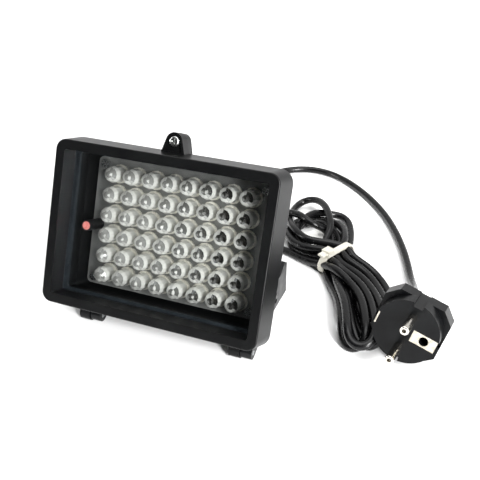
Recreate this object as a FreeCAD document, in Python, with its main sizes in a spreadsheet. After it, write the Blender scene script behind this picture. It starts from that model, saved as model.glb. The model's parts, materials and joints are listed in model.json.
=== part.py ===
"""Infrared illuminator on its bracket, with its mains lead, as a parametric model in millimetres.

The lamp stands on a table as it is stored: it rests on its two hinge knuckles in front and on its
bracket behind, and leans back. X is to the right, Y to the back and Z up. The origin is on the
table, under the middle of the lamp and its bracket.

The lamp's own pieces are drawn in the lamp's frame, whose origin is the middle of the front face,
and are then leaned back together. The bracket is drawn about its pivot, and the plug about the
middle of its face.
"""
import FreeCAD, Part
import math
import os

import Sketcher

Vector = FreeCAD.Vector
document = FreeCAD.newDocument("infrared_illuminator")

# Driving dimensions, in millimetres and degrees
SIZES = {
    # stance on the table
    "lean": 22.5,
    "origin_back": 29.1,
    # front frame
    "front_width": 134.5,
    "front_height": 95.5,
    "front_corner": 6.0,
    "front_depth": 18.4,
    "front_draft": 5.6,
    "front_round": 0.8,
    "bezel_width": 5.6,
    "shroud_corner": 1.5,
    # window and its seal
    "window_front": 12.4,
    "window_thick": 2.8,
    "window_lip": 2.2,
    "window_play": 0.3,
    "gasket_thick": 2.0,
    "gasket_width": 3.2,
    # screw lug on top
    "lug_width": 15.6,
    "lug_top_radius": 5.0,
    "lug_rise": 7.6,
    "lug_depth": 7.0,
    "lug_rim": 1.3,
    "lug_recess": 1.6,
    "lug_root": 1.0,
    "lug_recess_up": 1.9,
    "lug_boss_depth": 6.0,
    "lug_boss_root": 3.0,
    "screw_radius": 1.6,
    "screw_head_radius": 3.1,
    "screw_head_height": 1.8,
    "screw_play": 0.45,
    "screw_reach": 5.0,
    "screw_slot": 0.9,
    "screw_dome": 1.25,
    # hinge along the bottom edge
    "hinge_back": 17.0,
    "hinge_drop": 5.85,
    "leaf_radius": 4.5,
    "knuckle_radius": 3.8,
    "leaf_length": 6.7,
    "knuckle_length": 6.5,
    "leaf_gap": 0.3,
    "leaf_start": 48.0,
    "hinge_pin_radius": 1.5,
    "running_play": 0.06,
    "knuckle_lap": 2.0,
    "knuckle_inset": 0.6,
    "knuckle_heel": 1.5,
    "knuckle_low": 3.2,
    # rear body
    "door_gap": 0.3,
    "rim_inset": 3.0,
    "rim_depth": 8.3,
    "rim_corner": 6.5,
    "waist_back": 44.0,
    "waist_width": 108.0,
    "waist_height": 83.0,
    "waist_corner": 8.0,
    "body_back": 70.0,
    "back_width": 102.0,
    "back_height": 62.0,
    "back_corner": 9.0,
    "wall": 2.5,
    "tongue_play": 0.6,
    "back_round": 2.0,
    "cut_over": 1.0,
    # lamp board
    "board_thick": 1.6,
    "board_gap": 1.8,
    "board_corner": 3.0,
    "board_post_inset": 4.2,
    "post_radius": 3.2,
    "post_length": 8.4,
    "post_hole": 1.15,
    "board_screw_radius": 1.05,
    "board_screw_head": 2.6,
    "board_screw_head_height": 1.6,
    "board_screw_length": 6.0,
    "board_hole_play": 0.4,
    "board_screw_end": 0.5,
    # emitters
    "led_pitch": 12.15,
    "led_shift": 1.5,
    "led_radius": 5.0,
    "led_flange_radius": 5.8,
    "led_flange_thick": 1.4,
    "led_height": 14.5,
    "led_window_gap": 1.3,
    # daylight sensor
    "sensor_inset": 4.4,
    "sensor_up": -2.0,
    "sensor_radius": 2.5,
    "sensor_thick": 2.0,
    "sleeve_wall": 0.8,
    "sleeve_gap": 1.0,
    # driver board and what it carries
    "driver_width": 84.0,
    "driver_height": 34.0,
    "driver_up": -9.0,
    "driver_post_out": 36.0,
    "driver_post_up": 12.5,
    "driver_post_length": 7.5,
    "core_width": 30.0,
    "core_tall": 11.0,
    "core_deep": 22.0,
    "core_leg": 7.5,
    "core_out": -14.0,
    "coil_wall": 5.2,
    "coil_play": 0.25,
    "capacitor_radius": 5.0,
    "capacitor_length": 18.0,
    "capacitor_out": 11.0,
    "capacitor_up": -1.0,
    "film_width": 17.0,
    "film_deep": 12.0,
    "film_tall": 7.5,
    "film_out": 9.0,
    "film_up": -19.0,
    "rectifier_side": 8.5,
    "rectifier_deep": 6.0,
    "rectifier_out": 26.0,
    "rectifier_up": -19.0,
    "terminal_width": 10.5,
    "terminal_deep": 10.0,
    "terminal_tall": 8.0,
    "terminal_out": 25.5,
    "terminal_up": -3.0,
    "link_out": -33.0,
    "link_up": -9.0,
    "link_pitch": 2.54,
    "link_radius": 0.7,
    # bracket and its pivots
    "pivot_back": 56.5,
    "pivot_height": 9.5,
    "boss_radius": 6.5,
    "boss_inset": 0.2,
    "boss_depth": 9.8,
    "insert_radius": 3.5,
    "insert_length": 7.8,
    "pivot_bolt_radius": 2.5,
    "pivot_head_radius": 5.0,
    "pivot_head_height": 1.9,
    "pivot_socket_radius": 1.7,
    "pivot_socket_depth": 1.3,
    "pivot_head_round": 1.1,
    "pivot_washer_radius": 6.0,
    "pivot_washer_thick": 0.8,
    "pivot_gap": 0.1,
    "bracket_thick": 2.5,
    "bracket_reach": 29.5,
    "bracket_edge_up": 9.3,
    "bracket_apex_back": 22.0,
    "bracket_apex_up": 14.8,
    "bracket_step_back": 13.0,
    "bracket_bend": 4.0,
    "bracket_hole_radius": 2.3,
    "bracket_hole_span": 70.0,
    # mains lead
    "cord_radius": 2.6,
    "relief_out": 10.0,
    "relief_up": 16.0,
    "relief_neck": 5.0,
    "relief_collar": 7.0,
    "relief_collar_thick": 2.6,
    "relief_root": 5.8,
    "relief_tip": 3.6,
    "relief_length": 30.0,
    "relief_straight": 16.0,
    "hank_height": 12.2,
    "tie_width": 4.6,
    "tie_thick": 1.3,
    "tie_span": 31.0,
    "tie_head_length": 6.4,
    "tie_head_height": 4.4,
    "tie_head_proud": 0.8,
    "tie_tail": 5.4,
    "tag_width": 17.0,
    "tag_length": 23.0,
    "tag_thick": 0.4,
    # plug
    "plug_radius": 18.2,
    "plug_front": 9.0,
    "grip_out": 19.4,
    "grip_up": 17.2,
    "grip_corner": 6.5,
    "grip_end": 19.0,
    "plug_back": 25.0,
    "plug_taper": 4.0,
    "gland_tilt": 15.0,
    "gland_start": 20.0,
    "gland_length": 24.0,
    "gland_root": 6.5,
    "gland_tip": 3.8,
    "gland_straight": 9.0,
    "plug_notch_width": 5.6,
    "plug_notch_depth": 2.6,
    "pin_radius": 2.4,
    "pin_length": 19.0,
    "pin_half_span": 9.5,
    "pin_seat": 6.0,
    "pin_bore": 1.2,
    "pin_round": 0.7,
    "earth_out": 10.5,
    "earth_radius": 2.6,
    "earth_depth": 16.0,
    "earth_strip_width": 7.0,
    "earth_strip_thick": 0.8,
    "earth_strip_inner": 3.5,
    "earth_strip_side": 11.0,
}

LED_COLUMNS = 8
LED_ROWS = 6
LED_SIDES = 12
LENS_ANGLES = (0, 35, 65, 84)


def make_sheet():
    """Put the driving dimensions in a spreadsheet, each under its own alias."""
    sheet = document.addObject("Spreadsheet::Sheet", "Sizes")
    for row, (name, value) in enumerate(SIZES.items(), start=1):
        sheet.set("A%d" % row, name)
        sheet.set("B%d" % row, str(value))
        sheet.setAlias("B%d" % row, name)
    document.recompute()
    return sheet


sheet = make_sheet()


def size(name):
    """Give one driving dimension as a number."""
    return float(sheet.get(name))


def formula(text):
    """Write words that are sizes as references to the sheet."""
    words = []
    word = ""
    for letter in text + " ":
        if letter.isalnum() or letter == "_":
            word += letter
            continue
        words.append("Sizes." + word if word in SIZES else word)
        words.append(letter)
        word = ""
    return "".join(words).strip()


def value_of(text):
    """Work out a formula of sizes as a number, for the starting point of a sketch."""
    return float(sheet.evalExpression(formula(text)))


# Formulas that several pieces share
OPENING_WIDTH = "(front_width - 2 * bezel_width)"
OPENING_HEIGHT = "(front_height - 2 * bezel_width)"
SEAT_WIDTH = "(front_width - 2 * bezel_width + 2 * window_lip)"
SEAT_HEIGHT = "(front_height - 2 * bezel_width + 2 * window_lip)"
BODY_FRONT = "(front_depth + door_gap)"
RIM_WIDTH = "(front_width + 2 * front_depth * tan(front_draft) - 2 * rim_inset)"
RIM_HEIGHT = "(front_height + 2 * front_depth * tan(front_draft) - 2 * rim_inset)"
RIM_BACK = "(front_depth + door_gap + rim_depth)"
GASKET_FRONT = "(window_front + window_thick)"
LED_TIP = "(window_front + window_thick + led_window_gap)"
BOARD_FRONT = "(window_front + window_thick + led_window_gap + led_height)"
BOARD_BACK = "(window_front + window_thick + led_window_gap + led_height + board_thick)"
DRIVER_BACK = "(body_back - wall - driver_post_length)"
DRIVER_FRONT = "(body_back - wall - driver_post_length - board_thick)"
LUG_CENTRE = "(front_height / 2 + lug_rise)"
LUG_FRONT = "(front_depth - lug_depth)"
HINGE_DOWN = "(front_height / 2 + hinge_drop)"
BOSS_FACE = "(waist_width / 2 - boss_inset)"
ARM_INSIDE = "(%s + pivot_washer_thick + 2 * pivot_gap)" % BOSS_FACE
ARM_OUTSIDE = "(%s + pivot_washer_thick + 2 * pivot_gap + bracket_thick)" % BOSS_FACE
STAND_HEIGHT = "(leaf_radius + sin(lean) * hinge_back + cos(lean) * (front_height / 2 + hinge_drop))"
PIVOT_DOWN = "((%s - sin(lean) * pivot_back - pivot_height) / cos(lean))" % STAND_HEIGHT
PIVOT_ROW = "(cos(lean) * pivot_back - sin(lean) * %s - origin_back)" % PIVOT_DOWN


def hollow_at(depth, opening, waist):
    """Give the width or height of the body's hollow at a depth between its rim and its waist."""
    share = "((%s - %s) / (waist_back - %s))" % (depth, RIM_BACK, RIM_BACK)
    return "(%s - %s * (%s - (%s - 2 * wall)))" % (opening, share, opening, waist)


POST_END = "(%s + post_length)" % BOARD_BACK
BOARD_WIDTH = "(%s - 2 * board_gap)" % hollow_at(BOARD_BACK, OPENING_WIDTH, "waist_width")
BOARD_HEIGHT = "(%s - 2 * board_gap)" % hollow_at(BOARD_BACK, OPENING_HEIGHT, "waist_height")
BOARD_POST_OUT = "(%s / 2 + wall / 2 - post_radius)" % hollow_at(POST_END, OPENING_WIDTH, "waist_width")
BOARD_POST_UP = "(%s / 2 - board_post_inset)" % BOARD_HEIGHT
SENSOR_OUT = "(%s / 2 - sensor_inset)" % BOARD_WIDTH

PARTS = []


def keep(piece, label):
    """Name a finished piece and put it on the list of what is written out."""
    piece.Label = label
    PARTS.append(piece)
    return piece


def lean_back(piece):
    """Stand a piece of the lamp on the table: leaned back, with its hinge on the ground."""
    piece.Placement = FreeCAD.Placement(Vector(0, 0, 0), FreeCAD.Rotation(Vector(1, 0, 0), -1))
    piece.setExpression("Placement.Rotation.Angle", formula("-lean"))
    piece.setExpression("Placement.Base.y", formula("-origin_back"))
    piece.setExpression("Placement.Base.z", formula(STAND_HEIGHT))


def new_body(name):
    """Start a PartDesign body for a piece of the lamp."""
    return document.addObject("PartDesign::Body", name)


def new_sketch(body, name, role, offset="0"):
    """Attach a sketch to one of the body's origin planes, moved along its normal."""
    for feature in body.Origin.OriginFeatures:
        if feature.Role == role:
            datum = feature
    sketch = body.newObject("Sketcher::SketchObject", name)
    sketch.AttachmentSupport = (datum, [""])
    sketch.MapMode = "FlatFace"
    sketch.setExpression("AttachmentOffset.Base.z", formula(offset))
    return sketch


def front_sketch(body, name, back):
    """Start a sketch that faces forward, at a distance behind the lamp's front face."""
    return new_sketch(body, name, "XZ_Plane", "-" + back if back != "0" else "0")


def measure(sketch, kind, *arguments):
    """Add one dimension, given last as a formula, and bind it to the sheet."""
    references = arguments[:-1]
    text = arguments[-1]
    number = value_of(text)
    index = sketch.addConstraint(Sketcher.Constraint(kind, *references, number))
    name = "d%d" % index
    sketch.renameConstraint(index, name)
    sketch.setExpression("Constraints." + name, formula(text))


def rounded_rectangle(sketch, width, height, corner, x="0", y="0"):
    """Draw a rectangle with round corners about a point given by formulas."""
    point = sketch.GeometryCount
    middle = Vector(value_of(x), value_of(y), 0)
    sketch.addGeometry(Part.Point(middle), True)
    measure(sketch, "DistanceX", -1, 1, point, 1, x)
    measure(sketch, "DistanceY", -1, 1, point, 1, y)
    across = value_of(width) / 2
    up = value_of(height) / 2
    radius = value_of(corner)
    first = sketch.GeometryCount
    lines = [
        (-across + radius, -up, across - radius, -up),
        (across, -up + radius, across, up - radius),
        (across - radius, up, -across + radius, up),
        (-across, up - radius, -across, -up + radius),
    ]
    centres = [
        (across - radius, -up + radius),
        (across - radius, up - radius),
        (-across + radius, up - radius),
        (-across + radius, -up + radius),
    ]
    for x0, y0, x1, y1 in lines:
        segment = Part.LineSegment(middle + Vector(x0, y0, 0), middle + Vector(x1, y1, 0))
        sketch.addGeometry(segment, False)
    for turn, (cx, cy) in enumerate(centres):
        circle = Part.Circle(middle + Vector(cx, cy, 0), Vector(0, 0, 1), radius)
        start = math.radians(90 * (turn - 1))
        sketch.addGeometry(Part.ArcOfCircle(circle, start, start + math.pi / 2), False)
    rules = []
    for side in range(4):
        arc = first + 4 + side
        rules.append(Sketcher.Constraint("Tangent", first + side, 2, arc, 1))
        rules.append(Sketcher.Constraint("Tangent", arc, 2, first + (side + 1) % 4, 1))
        rules.append(Sketcher.Constraint("Vertical" if side % 2 else "Horizontal", first + side))
    for arc in (5, 6, 7):
        rules.append(Sketcher.Constraint("Equal", first + 4, first + arc))
    rules.append(Sketcher.Constraint("Symmetric", first + 4, 3, first + 6, 3, point, 1))
    sketch.addConstraint(rules)
    measure(sketch, "Radius", first + 4, corner)
    measure(sketch, "DistanceX", first + 3, 1, first + 1, 1, width)
    measure(sketch, "DistanceY", first, 1, first + 2, 1, height)


def circle_at(sketch, x, y, radius):
    """Draw one circle with its centre and radius bound to formulas."""
    index = sketch.GeometryCount
    centre = Vector(value_of(x), value_of(y), 0)
    sketch.addGeometry(Part.Circle(centre, Vector(0, 0, 1), value_of(radius)), False)
    measure(sketch, "Radius", index, radius)
    measure(sketch, "DistanceX", -1, 1, index, 3, x)
    measure(sketch, "DistanceY", -1, 1, index, 3, y)


def polygon(sketch, corners):
    """Draw a closed outline of straight lines through corners given as formulas."""
    first = sketch.GeometryCount
    points = [Vector(value_of(x), value_of(y), 0) for x, y in corners]
    count = len(points)
    for index in range(count):
        sketch.addGeometry(Part.LineSegment(points[index], points[(index + 1) % count]), False)
    for index in range(count):
        after = first + (index + 1) % count
        sketch.addConstraint(Sketcher.Constraint("Coincident", first + index, 2, after, 1))
    for index, (x, y) in enumerate(corners):
        measure(sketch, "DistanceX", -1, 1, first + index, 1, x)
        measure(sketch, "DistanceY", -1, 1, first + index, 1, y)


def arch(sketch, half_base, base, centre_x, centre_y, radius):
    """Draw a base line with two sides that run tangent into a round end.

    The round end lies above the base, or below it where the centre is lower than the base.
    """
    x = value_of(centre_x)
    y = value_of(centre_y)
    half = value_of(half_base)
    low = value_of(base)
    round_end = value_of(radius)
    first = sketch.GeometryCount
    up = 1 if y > low else -1
    spread = math.hypot(half, y - low)
    lean_in = math.acos(round_end / spread) if spread > round_end else 0.0
    angle = math.atan2(up * (low - y), half) + lean_in
    touch_x = round_end * math.cos(angle)
    touch_y = up * round_end * math.sin(angle)
    left = Vector(x - half, low, 0)
    right = Vector(x + half, low, 0)
    touch_right = Vector(x + touch_x, y + touch_y, 0)
    touch_left = Vector(x - touch_x, y + touch_y, 0)
    circle = Part.Circle(Vector(x, y, 0), Vector(0, 0, 1), round_end)
    start = math.atan2(touch_y, touch_x)
    end = math.atan2(touch_y, -touch_x)
    if up > 0:
        arc = Part.ArcOfCircle(circle, start, end)
        arc_right, arc_left = 1, 2
    else:
        arc = Part.ArcOfCircle(circle, end, start + 2 * math.pi if start < end else start)
        arc_right, arc_left = 2, 1
    sketch.addGeometry([
        Part.LineSegment(left, right),
        Part.LineSegment(right, touch_right),
        arc,
        Part.LineSegment(touch_left, left),
    ], False)
    sketch.addConstraint([
        Sketcher.Constraint("Coincident", first, 2, first + 1, 1),
        Sketcher.Constraint("Tangent", first + 1, 2, first + 2, arc_right),
        Sketcher.Constraint("Tangent", first + 2, arc_left, first + 3, 1),
        Sketcher.Constraint("Coincident", first + 3, 2, first, 1),
    ])
    measure(sketch, "DistanceX", -1, 1, first, 1, "%s - (%s)" % (centre_x, half_base))
    measure(sketch, "DistanceX", -1, 1, first, 2, "%s + %s" % (centre_x, half_base))
    measure(sketch, "DistanceY", -1, 1, first, 1, base)
    measure(sketch, "DistanceY", -1, 1, first, 2, base)
    measure(sketch, "DistanceX", -1, 1, first + 2, 3, centre_x)
    measure(sketch, "DistanceY", -1, 1, first + 2, 3, centre_y)
    measure(sketch, "Radius", first + 2, radius)


def pad(body, name, sketch, length, backward=True, taper=None):
    """Grow a sketch into solid; a sketch that faces forward grows towards the back."""
    feature = body.newObject("PartDesign::Pad", name)
    feature.Profile = sketch
    feature.setExpression("Length", formula(length))
    feature.Reversed = backward
    if taper:
        feature.setExpression("TaperAngle", formula(taper))
    document.recompute()
    return feature


def pocket(body, name, sketch, length, forward=False):
    """Cut a sketch into the solid, towards the back unless it is turned forward."""
    before = body.Shape.Volume
    feature = body.newObject("PartDesign::Pocket", name)
    feature.Profile = sketch
    feature.setExpression("Length", formula(length))
    feature.Reversed = forward
    document.recompute()
    if body.Shape.Volume > before - 1e-6:
        raise RuntimeError("the pocket %s cuts nothing" % name)
    return feature


def loft(body, name, sections, cut=False):
    """Join sketches one behind the other with straight sides, as solid or as a hollow."""
    kind = "PartDesign::SubtractiveLoft" if cut else "PartDesign::AdditiveLoft"
    feature = body.newObject(kind, name)
    feature.Profile = sections[0]
    feature.Sections = sections[1:]
    feature.Ruled = True
    document.recompute()
    return feature


def round_edges(body, name, radius, choose):
    """Round the edges of the body's present shape that a test picks out."""
    tip = body.Tip
    names = []
    for number, edge in enumerate(tip.Shape.Edges, start=1):
        if choose(edge):
            names.append("Edge%d" % number)
    if not names:
        raise RuntimeError("no edge to round for " + name)
    feature = body.newObject("PartDesign::Fillet", name)
    feature.Base = (tip, names)
    feature.setExpression("Radius", formula(radius))
    document.recompute()
    return feature


def corners(out, up):
    """Give the four corner places of a rectangle as pairs of formulas."""
    return [("%s%s" % (a, out), "%s%s" % (b, up)) for a in ("", "-") for b in ("", "-")]


def near(number, target, slack=0.05):
    """Say whether two numbers agree closely."""
    return abs(number - target) < slack


def build_front_frame():
    """Mould the front frame: flared shroud, window seat, screw lug and hinge leaves."""
    body = new_body("front_frame")
    outline = front_sketch(body, "frame_outline", "0")
    rounded_rectangle(outline, "front_width", "front_height", "front_corner")
    pad(body, "frame_block", outline, "front_depth", taper="front_draft")
    size_y = size("front_depth")
    half = size("front_width") / 2
    up = size("front_height") / 2

    def on_front(edge):
        box = edge.BoundBox
        return near(box.YMin, 0) and near(box.YMax, 0)

    round_edges(body, "front_edge", "front_round", on_front)
    opening = front_sketch(body, "frame_opening", "0")
    rounded_rectangle(opening, OPENING_WIDTH, OPENING_HEIGHT, "shroud_corner")
    pocket(body, "shroud", opening, "front_depth + cut_over")
    seat = front_sketch(body, "seat_outline", "window_front")
    rounded_rectangle(seat, SEAT_WIDTH, SEAT_HEIGHT, "shroud_corner + window_lip")
    pocket(body, "window_seat", seat, "front_depth")
    lug = front_sketch(body, "lug_outline", LUG_FRONT)
    arch(lug, "lug_width / 2", "front_height / 2 - lug_root", "0", LUG_CENTRE, "lug_top_radius")
    pad(body, "lug", lug, "lug_depth")
    recess = front_sketch(body, "lug_recess_outline", LUG_FRONT)
    arch(recess, "lug_width / 2 - 2 * lug_rim", "front_height / 2 + lug_recess_up", "0", LUG_CENTRE,
         "lug_top_radius - lug_rim")
    pocket(body, "lug_recess_cut", recess, "lug_recess")
    bore = front_sketch(body, "lug_bore_outline", LUG_FRONT)
    circle_at(bore, "0", LUG_CENTRE, "screw_radius + screw_play")
    pocket(body, "lug_bore", bore, "lug_depth + cut_over")
    for side, start in (("left", "-leaf_start"), ("right", "leaf_start")):
        leaf = new_sketch(body, "leaf_outline_" + side, "YZ_Plane", start)
        arch(leaf, "leaf_radius", "-(front_height / 2 + leaf_gap)", "hinge_back", "-" + HINGE_DOWN,
             "leaf_radius")
        pad(body, "leaf_" + side, leaf, "leaf_length", backward=False)
        hole = new_sketch(body, "leaf_bore_" + side + "_outline", "YZ_Plane", start)
        circle_at(hole, "hinge_back", "-" + HINGE_DOWN, "hinge_pin_radius + running_play")
        pocket(body, "leaf_bore_" + side, hole, "leaf_length", forward=True)
    lean_back(body)
    return keep(body, "front_frame")


def build_window():
    """Cut the clear window that lies in the frame's seat."""
    body = new_body("window")
    outline = front_sketch(body, "window_outline", "window_front")
    rounded_rectangle(outline, SEAT_WIDTH + " - 2 * window_play", SEAT_HEIGHT + " - 2 * window_play",
                      "shroud_corner + window_lip - window_play")
    pad(body, "window_plate", outline, "window_thick")
    lean_back(body)
    return keep(body, "window")


def build_gasket():
    """Make the flat rubber seal behind the window."""
    body = new_body("window_gasket")
    outer = front_sketch(body, "gasket_outline", GASKET_FRONT)
    rounded_rectangle(outer, SEAT_WIDTH + " - 2 * window_play", SEAT_HEIGHT + " - 2 * window_play",
                      "shroud_corner + window_lip - window_play")
    pad(body, "gasket_plate", outer, "gasket_thick")
    inner = front_sketch(body, "gasket_inside", GASKET_FRONT)
    rounded_rectangle(inner, SEAT_WIDTH + " - 2 * window_play - 2 * gasket_width",
                      SEAT_HEIGHT + " - 2 * window_play - 2 * gasket_width", "shroud_corner")
    pocket(body, "gasket_opening", inner, "gasket_thick + cut_over")
    lean_back(body)
    return keep(body, "window_gasket")


def build_rear_body():
    """Mould the rear body: rim with its tongue, tapered shell, posts, knuckles and bosses."""
    body = new_body("rear_body")
    rim = front_sketch(body, "rim_outline", BODY_FRONT)
    rounded_rectangle(rim, RIM_WIDTH, RIM_HEIGHT, "rim_corner")
    pad(body, "rim", rim, "rim_depth")
    outside = []
    for name, back, width, height, corner in (
            ("rim_back", RIM_BACK, RIM_WIDTH, RIM_HEIGHT, "rim_corner"),
            ("waist", "waist_back", "waist_width", "waist_height", "waist_corner"),
            ("back", "body_back", "back_width", "back_height", "back_corner")):
        section = front_sketch(body, name + "_section", back)
        rounded_rectangle(section, width, height, corner)
        outside.append(section)
    loft(body, "shell", outside)
    back_plane = size("body_back")

    def on_back(edge):
        box = edge.BoundBox
        return near(box.YMin, back_plane) and near(box.YMax, back_plane)

    round_edges(body, "back_edge", "back_round", on_back)
    inside = []
    for name, back, width, height, corner in (
            ("mouth", BODY_FRONT, OPENING_WIDTH, OPENING_HEIGHT, "shroud_corner"),
            ("rim_inside", RIM_BACK, OPENING_WIDTH, OPENING_HEIGHT, "shroud_corner"),
            ("waist_inside", "waist_back", "waist_width - 2 * wall", "waist_height - 2 * wall",
             "waist_corner - wall"),
            ("back_inside", "(body_back - wall)", "back_width - 2 * wall", "back_height - 2 * wall",
             "back_corner - wall")):
        section = front_sketch(body, name + "_section", back)
        rounded_rectangle(section, width, height, corner)
        inside.append(section)
    loft(body, "hollow", inside, cut=True)
    tongue = front_sketch(body, "tongue_outline",
                          "(window_front + window_thick + gasket_thick + door_gap)")
    rounded_rectangle(tongue, SEAT_WIDTH + " - 2 * tongue_play", SEAT_HEIGHT + " - 2 * tongue_play",
                      "shroud_corner + window_lip - tongue_play")
    rounded_rectangle(tongue, OPENING_WIDTH, OPENING_HEIGHT, "shroud_corner")
    pad(body, "tongue", tongue, "front_depth - window_front - window_thick - gasket_thick")
    boss = front_sketch(body, "lug_boss_outline", BODY_FRONT)
    arch(boss, "lug_width / 2 - door_gap", "front_height / 2 - lug_boss_root", "0", LUG_CENTRE,
         "lug_top_radius - door_gap")
    pad(body, "lug_boss", boss, "lug_boss_depth")
    bore = front_sketch(body, "lug_boss_bore_outline", BODY_FRONT)
    circle_at(bore, "0", LUG_CENTRE, "screw_radius + screw_play")
    pocket(body, "lug_boss_bore", bore, "lug_boss_depth + cut_over")
    add_knuckles(body)
    add_pivot_bosses(body)
    add_posts(body)
    hole = front_sketch(body, "relief_hole_outline", "(body_back - wall - cut_over)")
    circle_at(hole, "relief_out", "relief_up", "relief_neck + running_play")
    pocket(body, "relief_hole", hole, "wall + 2 * cut_over")
    lean_back(body)
    return keep(body, "rear_body")


def add_knuckles(body):
    """Add the two hinge knuckles under the rim, each beside a leaf of the frame."""
    for side, start in (("left", "(leaf_length + leaf_gap - leaf_start)"),
                        ("right", "(leaf_length + leaf_gap + leaf_start)")):
        arm = new_sketch(body, "knuckle_arm_" + side, "YZ_Plane", start)
        polygon(arm, [
            (BODY_FRONT + " + knuckle_inset", "knuckle_lap - front_height / 2"),
            (RIM_BACK + " - knuckle_inset", "knuckle_lap - front_height / 2"),
            (RIM_BACK + " - knuckle_inset", "-(front_height / 2 + knuckle_heel)"),
            ("hinge_back + knuckle_lap", "-(%s + knuckle_low)" % HINGE_DOWN),
            ("hinge_back", "-" + HINGE_DOWN),
            (BODY_FRONT + " + knuckle_inset", "-(front_height / 2 + knuckle_lap)"),
        ])
        pad(body, "knuckle_web_" + side, arm, "knuckle_length", backward=False)
        barrel = new_sketch(body, "knuckle_outline_" + side, "YZ_Plane", start)
        circle_at(barrel, "hinge_back", "-" + HINGE_DOWN, "knuckle_radius")
        pad(body, "knuckle_" + side, barrel, "knuckle_length", backward=False)
        hole = new_sketch(body, "knuckle_bore_outline_" + side, "YZ_Plane", start)
        circle_at(hole, "hinge_back", "-" + HINGE_DOWN, "hinge_pin_radius")
        pocket(body, "knuckle_bore_" + side, hole, "knuckle_length", forward=True)


def add_pivot_bosses(body):
    """Add the bosses in the sides that hold the bracket's inserts, and bore them."""
    for side, start, outward in (("left", "-" + BOSS_FACE, True),
                                 ("right", "(%s - boss_depth)" % BOSS_FACE, False)):
        disc = new_sketch(body, "boss_outline_" + side, "YZ_Plane", start)
        circle_at(disc, "pivot_back", "-" + PIVOT_DOWN, "boss_radius")
        pad(body, "boss_" + side, disc, "boss_depth", backward=False)
        mouth = "-" + BOSS_FACE if outward else BOSS_FACE
        seat = new_sketch(body, "insert_seat_outline_" + side, "YZ_Plane", mouth)
        circle_at(seat, "pivot_back", "-" + PIVOT_DOWN, "insert_radius")
        pocket(body, "insert_seat_" + side, seat, "insert_length", forward=outward)


def add_posts(body):
    """Add the posts that carry the lamp board and the driver board, with their screw holes."""
    posts = front_sketch(body, "board_posts_outline", BOARD_BACK)
    for x, y in corners(BOARD_POST_OUT, BOARD_POST_UP):
        circle_at(posts, x, y, "post_radius")
    pad(body, "board_posts", posts, "post_length")
    holes = front_sketch(body, "board_post_holes_outline", BOARD_BACK)
    for x, y in corners(BOARD_POST_OUT, BOARD_POST_UP):
        circle_at(holes, x, y, "post_hole")
    pocket(body, "board_post_holes", holes, "board_screw_length")
    pillars = front_sketch(body, "driver_posts_outline", DRIVER_BACK)
    for x, y in driver_places():
        circle_at(pillars, x, y, "post_radius")
    pad(body, "driver_posts", pillars, "driver_post_length + wall / 2")
    wells = front_sketch(body, "driver_post_holes_outline", DRIVER_BACK)
    for x, y in driver_places():
        circle_at(wells, x, y, "post_hole")
    pocket(body, "driver_post_holes", wells, "board_screw_length")


def driver_places():
    """Give the four screw places of the driver board."""
    return [(x, "driver_up + (%s)" % y) for x, y in corners("driver_post_out", "driver_post_up")]


def build_hinge_pins():
    """Turn the two steel pins of the hinge."""
    for side, start in (("left", "-leaf_start"), ("right", "leaf_start")):
        body = new_body("hinge_pin_" + side)
        outline = new_sketch(body, "pin_outline_" + side, "YZ_Plane", start)
        circle_at(outline, "hinge_back", "-" + HINGE_DOWN, "hinge_pin_radius")
        pad(body, "pin_" + side, outline, "leaf_length + leaf_gap + knuckle_length", backward=False)
        lean_back(body)
        keep(body, "hinge_pin_" + side)


def build_lug_screw():
    """Turn the screw that holds the frame shut, with a cross in its head."""
    body = new_body("lug_screw")
    head_back = "(front_depth - lug_depth + lug_recess)"
    head_front = "(front_depth - lug_depth + lug_recess - screw_head_height)"
    head = front_sketch(body, "screw_head_outline", head_front)
    circle_at(head, "0", LUG_CENTRE, "screw_head_radius")
    pad(body, "screw_head", head, "screw_head_height")
    front = value_of(head_front)

    def on_head(edge):
        box = edge.BoundBox
        return near(box.YMin, front) and near(box.YMax, front)

    round_edges(body, "screw_head_round", "screw_dome", on_head)
    shank = front_sketch(body, "screw_shank_outline", head_back)
    circle_at(shank, "0", LUG_CENTRE, "screw_radius")
    pad(body, "screw_shank", shank, "lug_depth - lug_recess + door_gap + screw_reach")
    for name, wide, tall in (("upright", "screw_slot", "screw_head_radius * 1.2"),
                             ("level", "screw_head_radius * 1.2", "screw_slot")):
        slot = front_sketch(body, "slot_outline_" + name, head_front)
        polygon(slot, [
            ("-%s / 2" % wide, "%s - %s / 2" % (LUG_CENTRE, tall)),
            ("%s / 2" % wide, "%s - %s / 2" % (LUG_CENTRE, tall)),
            ("%s / 2" % wide, "%s + %s / 2" % (LUG_CENTRE, tall)),
            ("-%s / 2" % wide, "%s + %s / 2" % (LUG_CENTRE, tall)),
        ])
        pocket(body, "slot_" + name, slot, "screw_dome")
    lean_back(body)
    return keep(body, "lug_screw")


def build_lamp_board():
    """Cut the board that carries the emitters, with its four screw holes."""
    body = new_body("led_board")
    outline = front_sketch(body, "board_outline", BOARD_FRONT)
    rounded_rectangle(outline, BOARD_WIDTH, BOARD_HEIGHT, "board_corner")
    pad(body, "board_plate", outline, "board_thick")
    holes = front_sketch(body, "board_holes_outline", BOARD_FRONT)
    for x, y in corners(BOARD_POST_OUT, BOARD_POST_UP):
        circle_at(holes, x, y, "board_screw_radius + board_hole_play")
    pocket(body, "board_holes", holes, "board_thick + cut_over")
    lean_back(body)
    return keep(body, "led_board")


def lamp_placement():
    """Give the placement that stands a shape drawn in the lamp's frame on the table."""
    turn = FreeCAD.Rotation(Vector(1, 0, 0), -size("lean"))
    return FreeCAD.Placement(Vector(0, -size("origin_back"), value_of(STAND_HEIGHT)), turn)


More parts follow.
